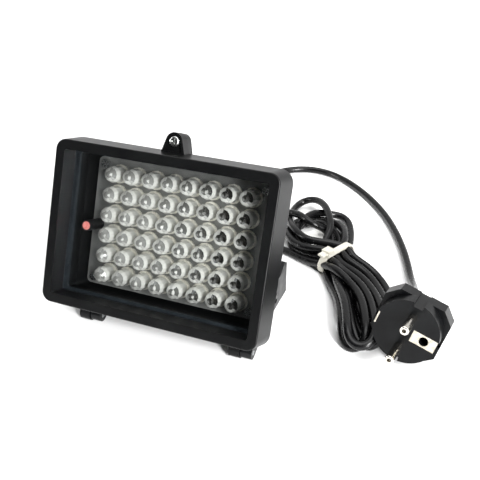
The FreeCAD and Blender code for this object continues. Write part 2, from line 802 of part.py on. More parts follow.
def ring(radius, back):
    """Give the corners of a regular outline at a distance behind the front face."""
    points = []
    for step in range(LED_SIDES):
        angle = 2 * math.pi * step / LED_SIDES
        points.append(Vector(radius * math.cos(angle), back, radius * math.sin(angle)))
    return points


def flat_face(points):
    """Make one flat face through corners in order."""
    return Part.Face(Part.makePolygon(points + points[:1]))


def make_led():
    """Build one emitter at the middle of the board from flat faces: flange, barrel and lens."""
    board = value_of(BOARD_FRONT)
    tip = value_of(LED_TIP)
    radius = size("led_radius")
    flange_front = board - size("led_flange_thick")
    dome_centre = tip + radius
    rings = [
        ring(size("led_flange_radius"), board),
        ring(size("led_flange_radius"), flange_front),
        ring(radius, flange_front),
    ]
    for angle in LENS_ANGLES:
        rise = math.radians(angle)
        rings.append(ring(radius * math.cos(rise), dome_centre - radius * math.sin(rise)))
    faces = [flat_face(rings[0]), flat_face(rings[-1])]
    for index in range(len(rings) - 1):
        behind, ahead = rings[index], rings[index + 1]
        if behind[0].y == ahead[0].y:
            faces.append(flat_face(behind).cut(flat_face(ahead)).Faces[0])
            continue
        for side in range(LED_SIDES):
            after = (side + 1) % LED_SIDES
            faces.append(flat_face([behind[side], behind[after], ahead[after], ahead[side]]))
    solid = Part.makeSolid(Part.makeShell(faces))
    if solid.Volume < 0:
        solid.reverse()
    return solid


def build_led_rows():
    """Set the emitters out in rows of eight, each row a group of separate solids."""
    emitter = make_led()
    pitch = size("led_pitch")
    for row in range(LED_ROWS):
        up = ((LED_ROWS - 1) / 2 - row) * pitch
        copies = []
        for column in range(LED_COLUMNS):
            out = (column - (LED_COLUMNS - 1) / 2) * pitch + size("led_shift")
            copies.append(emitter.translated(Vector(out, 0, up)))
        piece = document.addObject("Part::Feature", "led_row_%d" % (row + 1))
        piece.Shape = Part.makeCompound(copies)
        piece.Placement = lamp_placement()
        keep(piece, "led_row_%d" % (row + 1))


def build_board_screws(label, places, front):
    """Turn four small pan head screws as a group of separate solids."""
    length = size("board_thick") + size("board_screw_length") - size("board_screw_end")
    head_radius = size("board_screw_head")
    head_height = size("board_screw_head_height")
    radius = size("board_screw_radius")
    screws = []
    for x, y in places:
        place = Vector(value_of(x), front, value_of(y))
        head = Part.makeCylinder(head_radius, head_height, place - Vector(0, head_height, 0), Vector(0, 1, 0))
        shank = Part.makeCylinder(radius, length, place, Vector(0, 1, 0))
        screws.append(head.fuse(shank).removeSplitter())
    piece = document.addObject("Part::Feature", label)
    piece.Shape = Part.makeCompound(screws)
    piece.Placement = lamp_placement()
    return keep(piece, label)


def build_sensor():
    """Build the daylight sensor and the black sleeve that holds it up to the window."""
    front = "(window_front + window_thick + sleeve_gap)"
    body = new_body("photosensor")
    disc = front_sketch(body, "sensor_outline", front)
    circle_at(disc, "-" + SENSOR_OUT, "sensor_up", "sensor_radius")
    pad(body, "sensor_disc", disc, "sensor_thick")
    lean_back(body)
    keep(body, "photosensor")
    sleeve = new_body("photosensor_sleeve")
    outer = front_sketch(sleeve, "sleeve_outline", front)
    circle_at(outer, "-" + SENSOR_OUT, "sensor_up", "sensor_radius + sleeve_wall")
    pad(sleeve, "sleeve_rod", outer, "led_window_gap + led_height - sleeve_gap")
    bore = front_sketch(sleeve, "sleeve_bore_outline", front)
    circle_at(bore, "-" + SENSOR_OUT, "sensor_up", "sensor_radius")
    pocket(sleeve, "sleeve_bore", bore, "sensor_thick")
    lean_back(sleeve)
    keep(sleeve, "photosensor_sleeve")


def box_piece(label, wide, deep, tall, out, up):
    """Stand a plain box on the front of the driver board."""
    body = new_body(label)
    outline = front_sketch(body, label + "_outline", "(%s - %s)" % (DRIVER_FRONT, deep))
    polygon(outline, [
        ("%s - %s / 2" % (out, wide), "%s - %s / 2" % (up, tall)),
        ("%s + %s / 2" % (out, wide), "%s - %s / 2" % (up, tall)),
        ("%s + %s / 2" % (out, wide), "%s + %s / 2" % (up, tall)),
        ("%s - %s / 2" % (out, wide), "%s + %s / 2" % (up, tall)),
    ])
    pad(body, label + "_block", outline, deep)
    return body


def build_driver():
    """Build the driver board and the parts soldered to it."""
    board = new_body("driver_board")
    outline = front_sketch(board, "driver_outline", DRIVER_FRONT)
    polygon(outline, [
        ("-driver_width / 2", "driver_up - driver_height / 2"),
        ("driver_width / 2", "driver_up - driver_height / 2"),
        ("driver_width / 2", "driver_up + driver_height / 2"),
        ("-driver_width / 2", "driver_up + driver_height / 2"),
    ])
    pad(board, "driver_plate", outline, "board_thick")
    holes = front_sketch(board, "driver_holes_outline", DRIVER_FRONT)
    for x, y in driver_places():
        circle_at(holes, x, y, "board_screw_radius + board_hole_play")
    pocket(board, "driver_holes", holes, "board_thick + cut_over")
    lean_back(board)
    keep(board, "driver_board")
    build_transformer()
    can = new_body("filter_capacitor")
    round_base = front_sketch(can, "capacitor_outline", "(%s - capacitor_length)" % DRIVER_FRONT)
    circle_at(round_base, "capacitor_out", "capacitor_up", "capacitor_radius")
    pad(can, "capacitor_can", round_base, "capacitor_length")
    lean_back(can)
    keep(can, "filter_capacitor")
    for label, wide, deep, tall, out, up in (
            ("film_capacitor", "film_width", "film_deep", "film_tall", "film_out", "film_up"),
            ("rectifier", "rectifier_side", "rectifier_deep", "rectifier_side", "rectifier_out",
             "rectifier_up")):
        piece = box_piece(label, wide, deep, tall, out, up)
        lean_back(piece)
        keep(piece, label)
    block = box_piece("terminal_block", "terminal_width", "terminal_deep", "terminal_tall",
                      "terminal_out", "terminal_up")
    wells = front_sketch(block, "terminal_wells_outline", "(%s - terminal_deep)" % DRIVER_FRONT)
    for way in ("-", "+"):
        circle_at(wells, "terminal_out %s terminal_width / 4" % way, "terminal_up", "terminal_tall / 5")
    pocket(block, "terminal_wells", wells, "terminal_deep / 3")
    lean_back(block)
    keep(block, "terminal_block")


def build_transformer():
    """Build the small mains transformer: a laminated core with two windows, and its coil."""
    front = "(%s - core_deep)" % DRIVER_FRONT
    core = new_body("transformer_core")
    outline = new_sketch(core, "core_outline", "XY_Plane", "(driver_up - core_tall / 2)")
    polygon(outline, [
        ("core_out - core_width / 2", front),
        ("core_out + core_width / 2", front),
        ("core_out + core_width / 2", DRIVER_FRONT),
        ("core_out - core_width / 2", DRIVER_FRONT),
    ])
    inner = "(core_leg / 2)"
    outer = "(core_width / 2 - core_leg / 2)"
    for way in ("-", "+"):
        polygon(outline, [
            ("core_out %s %s" % (way, inner), front + " + core_leg / 2"),
            ("core_out %s %s" % (way, outer), front + " + core_leg / 2"),
            ("core_out %s %s" % (way, outer), DRIVER_FRONT + " - core_leg / 2"),
            ("core_out %s %s" % (way, inner), DRIVER_FRONT + " - core_leg / 2"),
        ])
    pad(core, "core_stack", outline, "core_tall", backward=False)
    lean_back(core)
    keep(core, "transformer_core")
    coil = new_body("transformer_coil")
    wound = front_sketch(coil, "coil_outline", "(%s + core_leg / 2 + coil_play)" % front)
    rounded_rectangle(wound, "core_leg + 2 * coil_wall", "core_tall + 2 * coil_wall",
                      "coil_wall / 2", "core_out", "driver_up")
    rounded_rectangle(wound, "core_leg + 2 * coil_play", "core_tall + 2 * coil_play",
                      "coil_play", "core_out", "driver_up")
    pad(coil, "coil_winding", wound, "core_deep - core_leg - 2 * coil_play")
    lean_back(coil)
    keep(coil, "transformer_coil")


def build_link_wires():
    """Run two stiff wires from the driver board to the lamp board."""
    start = value_of(BOARD_BACK)
    length = value_of(DRIVER_FRONT) - start
    wires = []
    for step in (-1, 1):
        place = Vector(size("link_out") + step * size("link_pitch") / 2, start, size("link_up"))
        wires.append(Part.makeCylinder(size("link_radius"), length, place, Vector(0, 1, 0)))
    piece = document.addObject("Part::Feature", "link_wires")
    piece.Shape = Part.makeCompound(wires)
    piece.Placement = lamp_placement()
    return keep(piece, "link_wires")


def build_relief():
    """Mould the strain relief that is snapped into the back wall and tapers along the lead."""
    body = new_body("cord_strain_relief")
    sketch = new_sketch(body, "relief_section", "XY_Plane", "relief_up")
    inside = "(body_back - wall)"
    collar_back = "(body_back + relief_collar_thick)"
    end = "(body_back + relief_length)"
    polygon(sketch, [
        ("relief_out", inside + " - relief_collar_thick"),
        ("relief_out + relief_collar", inside + " - relief_collar_thick"),
        ("relief_out + relief_collar", inside),
        ("relief_out + relief_neck", inside),
        ("relief_out + relief_neck", "body_back"),
        ("relief_out + relief_collar", "body_back"),
        ("relief_out + relief_collar", collar_back),
        ("relief_out + relief_root", collar_back),
        ("relief_out + relief_tip", end),
        ("relief_out", end),
    ])
    document.recompute()
    turned = body.newObject("PartDesign::Revolution", "relief_turned")
    turned.Profile = sketch
    turned.ReferenceAxis = (sketch, ["Edge10"])
    turned.Angle = 360.0
    document.recompute()
    lean_back(body)
    return keep(body, "cord_strain_relief")


def build_pivots():
    """Build the insert, bolt and friction washer of each of the bracket's two pivots."""
    for side, way in (("left", -1), ("right", 1)):
        sign = "-" if way < 0 else ""
        insert = new_body("pivot_insert_" + side)
        brass = new_sketch(insert, "insert_outline_" + side, "YZ_Plane", sign + BOSS_FACE)
        circle_at(brass, "pivot_back", "-" + PIVOT_DOWN, "insert_radius")
        circle_at(brass, "pivot_back", "-" + PIVOT_DOWN, "pivot_bolt_radius")
        pad(insert, "insert_ring_" + side, brass, "insert_length", backward=way > 0)
        lean_back(insert)
        keep(insert, "pivot_insert_" + side)
        washer = new_body("pivot_washer_" + side)
        flat = new_sketch(washer, "washer_outline_" + side, "YZ_Plane",
                          "%s(%s + pivot_gap)" % (sign, BOSS_FACE))
        circle_at(flat, "pivot_back", "-" + PIVOT_DOWN, "pivot_washer_radius")
        circle_at(flat, "pivot_back", "-" + PIVOT_DOWN, "pivot_bolt_radius + running_play")
        pad(washer, "washer_ring_" + side, flat, "pivot_washer_thick", backward=way < 0)
        lean_back(washer)
        keep(washer, "pivot_washer_" + side)
        bolt = new_body("pivot_bolt_" + side)
        under = "%s(%s + pivot_gap)" % (sign, ARM_OUTSIDE)
        head = new_sketch(bolt, "bolt_head_outline_" + side, "YZ_Plane", under)
        circle_at(head, "pivot_back", "-" + PIVOT_DOWN, "pivot_head_radius")
        pad(bolt, "bolt_head_" + side, head, "pivot_head_height", backward=way < 0)
        edge_x = way * (value_of(ARM_OUTSIDE) + size("pivot_gap") + size("pivot_head_height"))

        def on_head(edge):
            box = edge.BoundBox
            return near(box.XMin, edge_x) and near(box.XMax, edge_x)

        round_edges(bolt, "bolt_head_round_" + side, "pivot_head_round", on_head)
        shank = new_sketch(bolt, "bolt_shank_outline_" + side, "YZ_Plane", under)
        circle_at(shank, "pivot_back", "-" + PIVOT_DOWN, "pivot_bolt_radius")
        pad(bolt, "bolt_shank_" + side, shank,
            "bracket_thick + pivot_washer_thick + 3 * pivot_gap + insert_length",
            backward=way > 0)
        socket_plane = "%s(%s + pivot_gap + pivot_head_height)" % (sign, ARM_OUTSIDE)
        socket = new_sketch(bolt, "bolt_socket_outline_" + side, "YZ_Plane", socket_plane)
        hexagon = []
        for step in range(6):
            turn = math.radians(60 * step)
            hexagon.append(("pivot_back + pivot_socket_radius * %.6f" % math.cos(turn),
                            "pivot_socket_radius * %.6f - %s" % (math.sin(turn), PIVOT_DOWN)))
        polygon(socket, hexagon)
        pocket(bolt, "bolt_socket_" + side, socket, "pivot_socket_depth", forward=way < 0)
        lean_back(bolt)
        keep(bolt, "pivot_bolt_" + side)


def build_bracket():
    """Fold the bracket: an upright web behind the lamp and two arms that run to the pivots."""
    body = new_body("bracket")
    plan = new_sketch(body, "bracket_plan", "XY_Plane", "-pivot_height")
    web_front = "(bracket_reach - bracket_thick)"
    polygon(plan, [
        (ARM_INSIDE, "0"),
        (ARM_OUTSIDE, "0"),
        (ARM_OUTSIDE, "bracket_reach"),
        ("-" + ARM_OUTSIDE, "bracket_reach"),
        ("-" + ARM_OUTSIDE, "0"),
        ("-" + ARM_INSIDE, "0"),
        ("-" + ARM_INSIDE, web_front),
        (ARM_INSIDE, web_front),
    ])
    pad(body, "bracket_strip", plan, "pivot_height + bracket_apex_up", backward=False)

    def on_corner(back):
        def choose(edge):
            box = edge.BoundBox
            return box.ZLength > 1 and near(box.YMin, back) and near(box.YMax, back)
        return choose

    round_edges(body, "bend_outside", "bracket_bend", on_corner(size("bracket_reach")))
    round_edges(body, "bend_inside", "bracket_bend - bracket_thick", on_corner(value_of(web_front)))
    top = new_sketch(body, "bracket_top", "YZ_Plane", "-(%s + cut_over)" % ARM_OUTSIDE)
    polygon(top, [
        ("-cut_over", "pivot_height"),
        ("bracket_step_back", "pivot_height"),
        ("bracket_apex_back", "bracket_apex_up"),
        ("bracket_reach", "bracket_edge_up"),
        ("bracket_reach + cut_over", "bracket_edge_up"),
        ("bracket_reach + cut_over", "bracket_apex_up + cut_over"),
        ("-cut_over", "bracket_apex_up + cut_over"),
    ])
    pocket(body, "bracket_top_cut", top, "2 * (%s + cut_over)" % ARM_OUTSIDE, forward=True)
    for side, start in (("left", "-" + ARM_OUTSIDE), ("right", ARM_INSIDE)):
        eye = new_sketch(body, "eye_outline_" + side, "YZ_Plane", start)
        circle_at(eye, "0", "0", "pivot_height")
        pad(body, "eye_" + side, eye, "bracket_thick", backward=False)
        hole = new_sketch(body, "eye_hole_outline_" + side, "YZ_Plane", start)
        circle_at(hole, "0", "0", "pivot_bolt_radius + running_play")
        pocket(body, "eye_hole_" + side, hole, "bracket_thick", forward=True)
    fixings = front_sketch(body, "fixing_outline", web_front)
    for x in ("-bracket_hole_span / 2", "bracket_hole_span / 2"):
        circle_at(fixings, x, "0", "bracket_hole_radius")
    pocket(body, "fixing_holes", fixings, "bracket_thick + cut_over")
    body.setExpression("Placement.Base.y", formula(PIVOT_ROW))
    body.setExpression("Placement.Base.z", formula("pivot_height"))
    return keep(body, "bracket")


# The lead from the strain relief to the bundle: it drops to the table behind the lamp
NEAR_ROUTE = [
    (10.8, 99.0, 20.5),
    (15.0, 112.0, 13.0),
    (24.5, 122.0, 9.2),
    (37.0, 128.0, 8.2),
]

# The lead from the bundle to the plug: behind the lamp, then in a wide bow to the right
FAR_ROUTE = [
    (45.0, 78.5, 2.7),
    (30.0, 83.0, 2.7),
    (15.0, 91.5, 2.7),
    (2.0, 104.0, 2.7),
    (-8.0, 119.5, 2.7),
    (-14.0, 137.5, 2.7),
    (-16.0, 157.0, 2.7),
    (-13.5, 176.5, 2.7),
    (-6.5, 194.5, 2.7),
    (5.0, 208.0, 2.7),
    (20.5, 215.0, 2.7),
    (37.5, 213.5, 2.7),
    (54.0, 204.5, 2.7),
    (70.0, 190.5, 2.7),
    (84.5, 174.0, 2.7),
    (97.5, 155.5, 2.7),
    (108.0, 136.0, 2.7),
    (117.0, 115.5, 2.7),
    (124.5, 94.5, 2.7),
    (130.0, 74.0, 3.6),
    (135.0, 55.0, 8.8),
]

# Outline of the tied bundle on the table
BUNDLE_OUTLINE = [
    (27.0, 152.0),
    (26.0, 134.0),
    (30.0, 112.0),
    (35.5, 94.0),
    (42.0, 79.0),
    (53.0, 71.0),
    (64.0, 67.0),
    (74.5, 61.0),
    (84.0, 48.0),
    (88.5, 32.0),
    (92.5, 14.0),
    (99.0, -5.0),
    (107.0, -14.0),
    (114.5, -12.0),
    (118.2, -2.0),
    (120.6, 11.0),
    (127.0, 22.0),
    (131.5, 33.0),
    (130.0, 46.0),
    (123.5, 60.0),
    (112.0, 75.0),
    (98.0, 86.0),
    (88.0, 94.0),
    (87.0, 105.0),
    (86.0, 117.0),
    (80.5, 130.0),
    (71.0, 140.0),
    (60.0, 147.0),
    (49.0, 157.0),
    (38.5, 163.0),
    (30.5, 160.5),
]

TIE_PLACE = (79.7, 76.5)
TIE_TURN = 65.0
TAG_PLACE = (60.0, 103.5)
TAG_TURN = -40.0

PLUG_PLACE = (139.0, -9.2)
PLUG_YAW = -5.9
PLUG_PITCH = 12.0
PLUG_ROLL = -14.5


def relief_end():
    """Give the point on the table's frame where the lead leaves its strain relief."""
    tip = Vector(size("relief_out"), size("body_back") + size("relief_length"), size("relief_up"))
    return lamp_placement().multVec(tip)


def relief_way():
    """Give the direction in which the lead leaves its strain relief."""
    return lamp_placement().Rotation.multVec(Vector(0, 1, 0))


def route_wire(points, label):
    """Join straight runs with tangent arcs, each as large as its two runs allow."""
    edges = []
    begin = points[0]
    radii = []
    for index in range(1, len(points) - 1):
        before, corner, after = points[index - 1], points[index], points[index + 1]
        run_in = (corner - before).Length
        run_out = (after - corner).Length
        way_in = (corner - before).normalize()
        way_out = (after - corner).normalize()
        turn = way_in.getAngle(way_out)
        cut = 0.45 * min(run_in, run_out)
        radius = cut / math.tan(turn / 2)
        radii.append(radius)
        start = corner - way_in * cut
        end = corner + way_out * cut
        inward = (way_out - way_in).normalize()
        middle = corner + inward * (math.hypot(radius, cut) - radius)
        edges.append(Part.LineSegment(begin, start).toShape())
        edges.append(Part.Arc(start, middle, end).toShape())
        begin = end
    edges.append(Part.LineSegment(begin, points[-1]).toShape())
    wire = Part.Wire(edges)
    thick = 2 * size("cord_radius")
    print("%s: length %.0f mm, tightest radius %.1f diameters" % (label, wire.Length, min(radii) / thick))
    return wire


def build_tube(label, points):
    """Sweep the lead's round section along its route and check its volume."""
    wire = route_wire(points, label)
    radius = size("cord_radius")
    start = points[0]
    way = (points[1] - points[0]).normalize()
    profile = Part.Wire([Part.Circle(start, way, radius).toShape()])
    tube = wire.makePipeShell([profile], True, False)
    expected = math.pi * radius ** 2 * wire.Length
    if abs(tube.Volume - expected) > 0.01 * expected:
        raise RuntimeError("the volume of %s is off: %.0f for %.0f" % (label, tube.Volume, expected))
    piece = document.addObject("Part::Feature", label)
    piece.Shape = tube
    return keep(piece, label)


def build_cord():
    """Lay the lead: from the strain relief into the bundle, and on from it to the plug."""
    exit_point = relief_end()
    first = exit_point + relief_way() * size("relief_straight")
    near_points = [exit_point, first] + [Vector(*point) for point in NEAR_ROUTE]
    build_tube("cord_near", near_points)
    plug = plug_placement()
    end = plug.multVec(gland_point(size("gland_length")))
    before = plug.multVec(gland_point(size("gland_length") + size("gland_straight")))
    build_tube("cord_far", [Vector(*point) for point in FAR_ROUTE] + [before, end])


def build_bundle(tie):
    """Build the tied bundle of the lead as one closed form, with a waist where the tie holds it."""
    curve = Part.BSplineCurve()
    curve.interpolate([Vector(x, y, 0) for x, y in BUNDLE_OUTLINE], PeriodicFlag=True)
    face = Part.Face(Part.Wire([curve.toShape()]))
    slab = face.extrude(Vector(0, 0, size("hank_height")))
    piece = document.addObject("Part::Feature", "cord_hank")
    piece.Shape = slab.cut(tie.Shape)
    return keep(piece, "cord_hank")


def build_tie():
    """Build the cable tie: a flat band round the bundle's waist, its head and its cut end."""
    width = size("tie_width")
    thick = size("tie_thick")
    span = size("tie_span")
    inner_height = size("hank_height") - thick
    band = Part.Face(Part.Wire(stadium(span / 2 + thick, inner_height + 2 * thick, 0.0)))
    hole = Part.Face(Part.Wire(stadium(span / 2, inner_height, thick)))
    loop = band.extrude(Vector(0, width, 0)).cut(hole.extrude(Vector(0, width, 0)))
    loop.translate(Vector(0, -width / 2, 0))
    top = inner_height + 2 * thick
    proud = size("tie_head_proud")
    head_start = size("tie_head_length") / 2 - span / 2
    head = Part.makeBox(size("tie_head_length"), width + 2 * proud, size("tie_head_height"),
                        Vector(head_start, -width / 2 - proud, top - thick / 2))
    tail_start = head_start + proud - size("tie_tail")
    tail = Part.makeBox(size("tie_tail"), width, thick, Vector(tail_start, -width / 2, top + thick))
    solid = loop.fuse([head, tail]).removeSplitter()
    piece = document.addObject("Part::Feature", "cable_tie")
    piece.Shape = solid
    piece.Placement = FreeCAD.Placement(Vector(TIE_PLACE[0], TIE_PLACE[1], 0),
                                        FreeCAD.Rotation(Vector(0, 0, 1), TIE_TURN))
    return keep(piece, "cable_tie")


def stadium(half, height, base=0.0):
    """Give the edges of a flat band's outline across the bundle, standing on a base line."""
    radius = height / 2
    low = base
    high = base + height
    left = -half + radius
    right = half - radius
    return [
        Part.LineSegment(Vector(left, 0, low), Vector(right, 0, low)).toShape(),
        Part.Arc(Vector(right, 0, low), Vector(half, 0, low + radius), Vector(right, 0, high)).toShape(),
        Part.LineSegment(Vector(right, 0, high), Vector(left, 0, high)).toShape(),
        Part.Arc(Vector(left, 0, high), Vector(-half, 0, low + radius), Vector(left, 0, low)).toShape(),
    ]


def build_tag():
    """Cut the blank paper tag that lies on the bundle."""
    tag = document.addObject("Part::Box", "cord_tag")
    tag.setExpression("Length", formula("tag_length"))
    tag.setExpression("Width", formula("tag_width"))
    tag.setExpression("Height", formula("tag_thick"))
    turn = FreeCAD.Rotation(Vector(0, 0, 1), TAG_TURN)
    middle = turn.multVec(Vector(size("tag_length") / 2, size("tag_width") / 2, 0))
    tag.Placement = FreeCAD.Placement(Vector(*TAG_PLACE, size("hank_height")) - middle, turn)
    return keep(tag, "cord_tag")


def plug_turn():
    """Give the plug's rotation: its pins forward and a little up, rolled to one side."""
    return (FreeCAD.Rotation(Vector(0, 0, 1), PLUG_YAW)
            * FreeCAD.Rotation(Vector(1, 0, 0), 90 - PLUG_PITCH)
            * FreeCAD.Rotation(Vector(0, 0, 1), PLUG_ROLL))


def octagon(out, up, corner):
    """Give the corners of the plug's grip: a rectangle with its corners cut off."""
    return [
        ("%s - %s" % (out, corner), "-(%s)" % up),
        (out, "%s - (%s)" % (corner, up)),
        (out, "%s - %s" % (up, corner)),
        ("%s - %s" % (out, corner), up),
        ("%s - (%s)" % (corner, out), up),
        ("-(%s)" % out, "%s - %s" % (up, corner)),
        ("-(%s)" % out, "%s - (%s)" % (corner, up)),
        ("%s - (%s)" % (corner, out), "-(%s)" % up),
    ]


def plug_placement():
    """Rest the lowest corner of the plug's grip on the table."""
    turn = plug_turn()
    lowest = 0.0
    for x, y in octagon("grip_out", "grip_up", "grip_corner"):
        lowest = min(lowest, turn.multVec(Vector(value_of(x), value_of(y), -size("grip_end"))).z)
    return FreeCAD.Placement(Vector(PLUG_PLACE[0], PLUG_PLACE[1], -lowest), turn)


def gland_point(along):
    """Give a point on the axis of the plug's gland, at a distance behind its start."""
    tilt = math.radians(size("gland_tilt"))
    return Vector(-math.sin(tilt) * along, 0, -size("gland_start") - math.cos(tilt) * along)


def build_plug():
    """Build the two-pin earthed plug: body, pins and earth contacts."""
    body = new_body("plug_body")
    disc = new_sketch(body, "plug_disc", "XY_Plane")
    circle_at(disc, "0", "0", "plug_radius")
    pad(body, "plug_face", disc, "plug_front + 1")
    sections = []
    for name, back, inset in (("front", "plug_front", "0"), ("end", "grip_end", "0"),
                              ("back", "plug_back", "plug_taper")):
        grip = new_sketch(body, "grip_" + name, "XY_Plane", "-" + back)
        polygon(grip, octagon("(grip_out - %s)" % inset, "(grip_up - %s)" % inset, "grip_corner"))
        sections.append(grip)
    loft(body, "grip", sections)
    gland = new_sketch(body, "gland_section", "XZ_Plane")
    polygon(gland, [
        ("0", "-gland_start"),
        ("cos(gland_tilt) * gland_root", "-gland_start - sin(gland_tilt) * gland_root"),
        ("cos(gland_tilt) * gland_tip - sin(gland_tilt) * gland_length",
         "-gland_start - sin(gland_tilt) * gland_tip - cos(gland_tilt) * gland_length"),
        ("-sin(gland_tilt) * gland_length", "-gland_start - cos(gland_tilt) * gland_length"),
    ])
    document.recompute()
    turned = body.newObject("PartDesign::Revolution", "gland_turned")
    turned.Profile = gland
    turned.ReferenceAxis = (gland, ["Edge4"])
    turned.Angle = 360.0
    document.recompute()
    for side, way in (("near", "-"), ("far", "")):
        notch = new_sketch(body, "notch_outline_" + side, "XY_Plane")
        edge = "(plug_radius - plug_notch_depth)"
        polygon(notch, [
            ("-plug_notch_width / 2", way + edge),
            ("plug_notch_width / 2", way + edge),
            ("plug_notch_width / 2", way + "(plug_radius + 1)"),
            ("-plug_notch_width / 2", way + "(plug_radius + 1)"),
        ])
        pocket(body, "notch_" + side, notch, "plug_back")
    wells = new_sketch(body, "pin_wells_outline", "XY_Plane")
    for y in ("-pin_half_span", "pin_half_span"):
        circle_at(wells, "0", y, "pin_radius")
    pocket(body, "pin_wells", wells, "pin_seat")
    socket = new_sketch(body, "earth_socket_outline", "XY_Plane")
    circle_at(socket, "earth_out", "0", "earth_radius")
    pocket(body, "earth_socket", socket, "earth_depth")
    recess = new_sketch(body, "earth_recess_outline", "XY_Plane")
    polygon(recess, [
        ("earth_strip_inner", "-earth_strip_width / 2"),
        ("plug_radius + 1", "-earth_strip_width / 2"),
        ("plug_radius + 1", "earth_strip_width / 2"),
        ("earth_strip_inner", "earth_strip_width / 2"),
    ])
    pocket(body, "earth_recess", recess, "earth_strip_thick")
    for side, way in (("near", ""), ("far", "-")):
        groove = new_sketch(body, "earth_groove_outline_" + side, "XY_Plane")
        polygon(groove, [
            (way + "(plug_radius - 2 * earth_strip_thick)", "-earth_strip_width / 2"),
            (way + "(plug_radius + 1)", "-earth_strip_width / 2"),
            (way + "(plug_radius + 1)", "earth_strip_width / 2"),
            (way + "(plug_radius - 2 * earth_strip_thick)", "earth_strip_width / 2"),
        ])
        pocket(body, "earth_groove_" + side, groove, "earth_strip_side")
    body.Placement = plug_placement()
    keep(body, "plug_body")
    build_plug_pins()
    build_earth_contacts()


def build_plug_pins():
    """Turn the two round pins, each with a chamfered tip and a small bore in its end."""
    for side, y in (("near", "-pin_half_span"), ("far", "pin_half_span")):
        body = new_body("plug_pin_" + side)
        outline = new_sketch(body, "plug_pin_outline_" + side, "XY_Plane", "-pin_seat")
        circle_at(outline, "0", y, "pin_radius")
        pad(body, "plug_pin_rod_" + side, outline, "pin_seat + pin_length", backward=False)
        tip = size("pin_length")

        def on_tip(edge):
            box = edge.BoundBox
            return near(box.ZMin, tip) and near(box.ZMax, tip)

        round_edges(body, "plug_pin_tip_" + side, "pin_round", on_tip)
        bore = new_sketch(body, "plug_pin_bore_outline_" + side, "XY_Plane", "pin_length")
        circle_at(bore, "0", y, "pin_bore")
        pocket(body, "plug_pin_bore_" + side, bore, "pin_bore * 2")
        body.Placement = plug_placement()
        keep(body, "plug_pin_" + side)


def build_earth_contacts():
    """Fold the earth contact with its hole, and the plain one on the plug's other side."""
    thick = "earth_strip_thick"
    edge = "(plug_radius - 2 * earth_strip_thick)"
    body = new_body("plug_earth_contact")
    face = new_sketch(body, "contact_face_outline", "XY_Plane", "-" + thick)
    polygon(face, [
        ("earth_strip_inner", "-earth_strip_width / 2"),
        (edge + " + " + thick, "-earth_strip_width / 2"),
        (edge + " + " + thick, "earth_strip_width / 2"),
        ("earth_strip_inner", "earth_strip_width / 2"),
    ])
    circle_at(face, "earth_out", "0", "earth_radius")
    pad(body, "contact_face", face, thick, backward=False)
    side = new_sketch(body, "contact_side_outline", "XY_Plane")
    strip_section(side, "", edge, thick)
    pad(body, "contact_side", side, "earth_strip_side", backward=True)
    body.Placement = plug_placement()
    keep(body, "plug_earth_contact")
    plain = new_body("plug_earth_contact_far")
    strip = new_sketch(plain, "far_contact_outline", "XY_Plane")
    strip_section(strip, "-", edge, thick)
    pad(plain, "far_contact", strip, "earth_strip_side", backward=True)
    plain.Placement = plug_placement()
    keep(plain, "plug_earth_contact_far")


def strip_section(sketch, way, edge, thick):
    """Draw the thin section of an earth strip in its groove on the plug's side."""
    polygon(sketch, [
        (way + edge, "-earth_strip_width / 2"),
        ("%s(%s + %s)" % (way, edge, thick), "-earth_strip_width / 2"),
        ("%s(%s + %s)" % (way, edge, thick), "earth_strip_width / 2"),
        (way + edge, "earth_strip_width / 2"),
    ])


def check_and_write():
    """Check every object and every finished piece, then write one file for each piece."""
    document.recompute()
    for item in document.Objects:
        if "Invalid" in item.State or "Error" in item.State:
            raise RuntimeError("%s failed: %s" % (item.Label, item.State))
    for piece in PARTS:
        if piece.Shape.isNull() or not piece.Shape.isValid():
            raise RuntimeError("the shape of %s isn't valid" % piece.Label)
    os.makedirs("parts", exist_ok=True)
    for piece in PARTS:
        piece.Shape.exportStep("parts/%s.step" % piece.Label)
    print("%d pieces written" % len(PARTS))


build_front_frame()
build_window()
build_gasket()
build_rear_body()
build_hinge_pins()
build_lug_screw()
build_lamp_board()
build_led_rows()
build_board_screws("led_board_screws", corners(BOARD_POST_OUT, BOARD_POST_UP),
                   value_of(BOARD_FRONT))
build_sensor()
build_driver()
build_board_screws("driver_board_screws", driver_places(), value_of(DRIVER_FRONT))
build_link_wires()
build_pivots()
build_bracket()
build_relief()
build_cord()
build_bundle(build_tie())
build_tag()
build_plug()
check_and_write()
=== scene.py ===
"""Looks of an infrared flood lamp with a folding bracket, its hinged front and its tied mains lead.

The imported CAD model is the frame. This script gives every CAD node a procedural material and adds
the pieces that the CAD leaves to it: the lead with its tied bundle, the strain relief, the paper
flag on the lead, and the lead frames and dies inside the clear emitters.
"""

import json
import logging
import math
from dataclasses import dataclass
from enum import Enum
from typing import Any, Iterable, Sequence

import bmesh
import bpy
from mathutils import Matrix, Vector

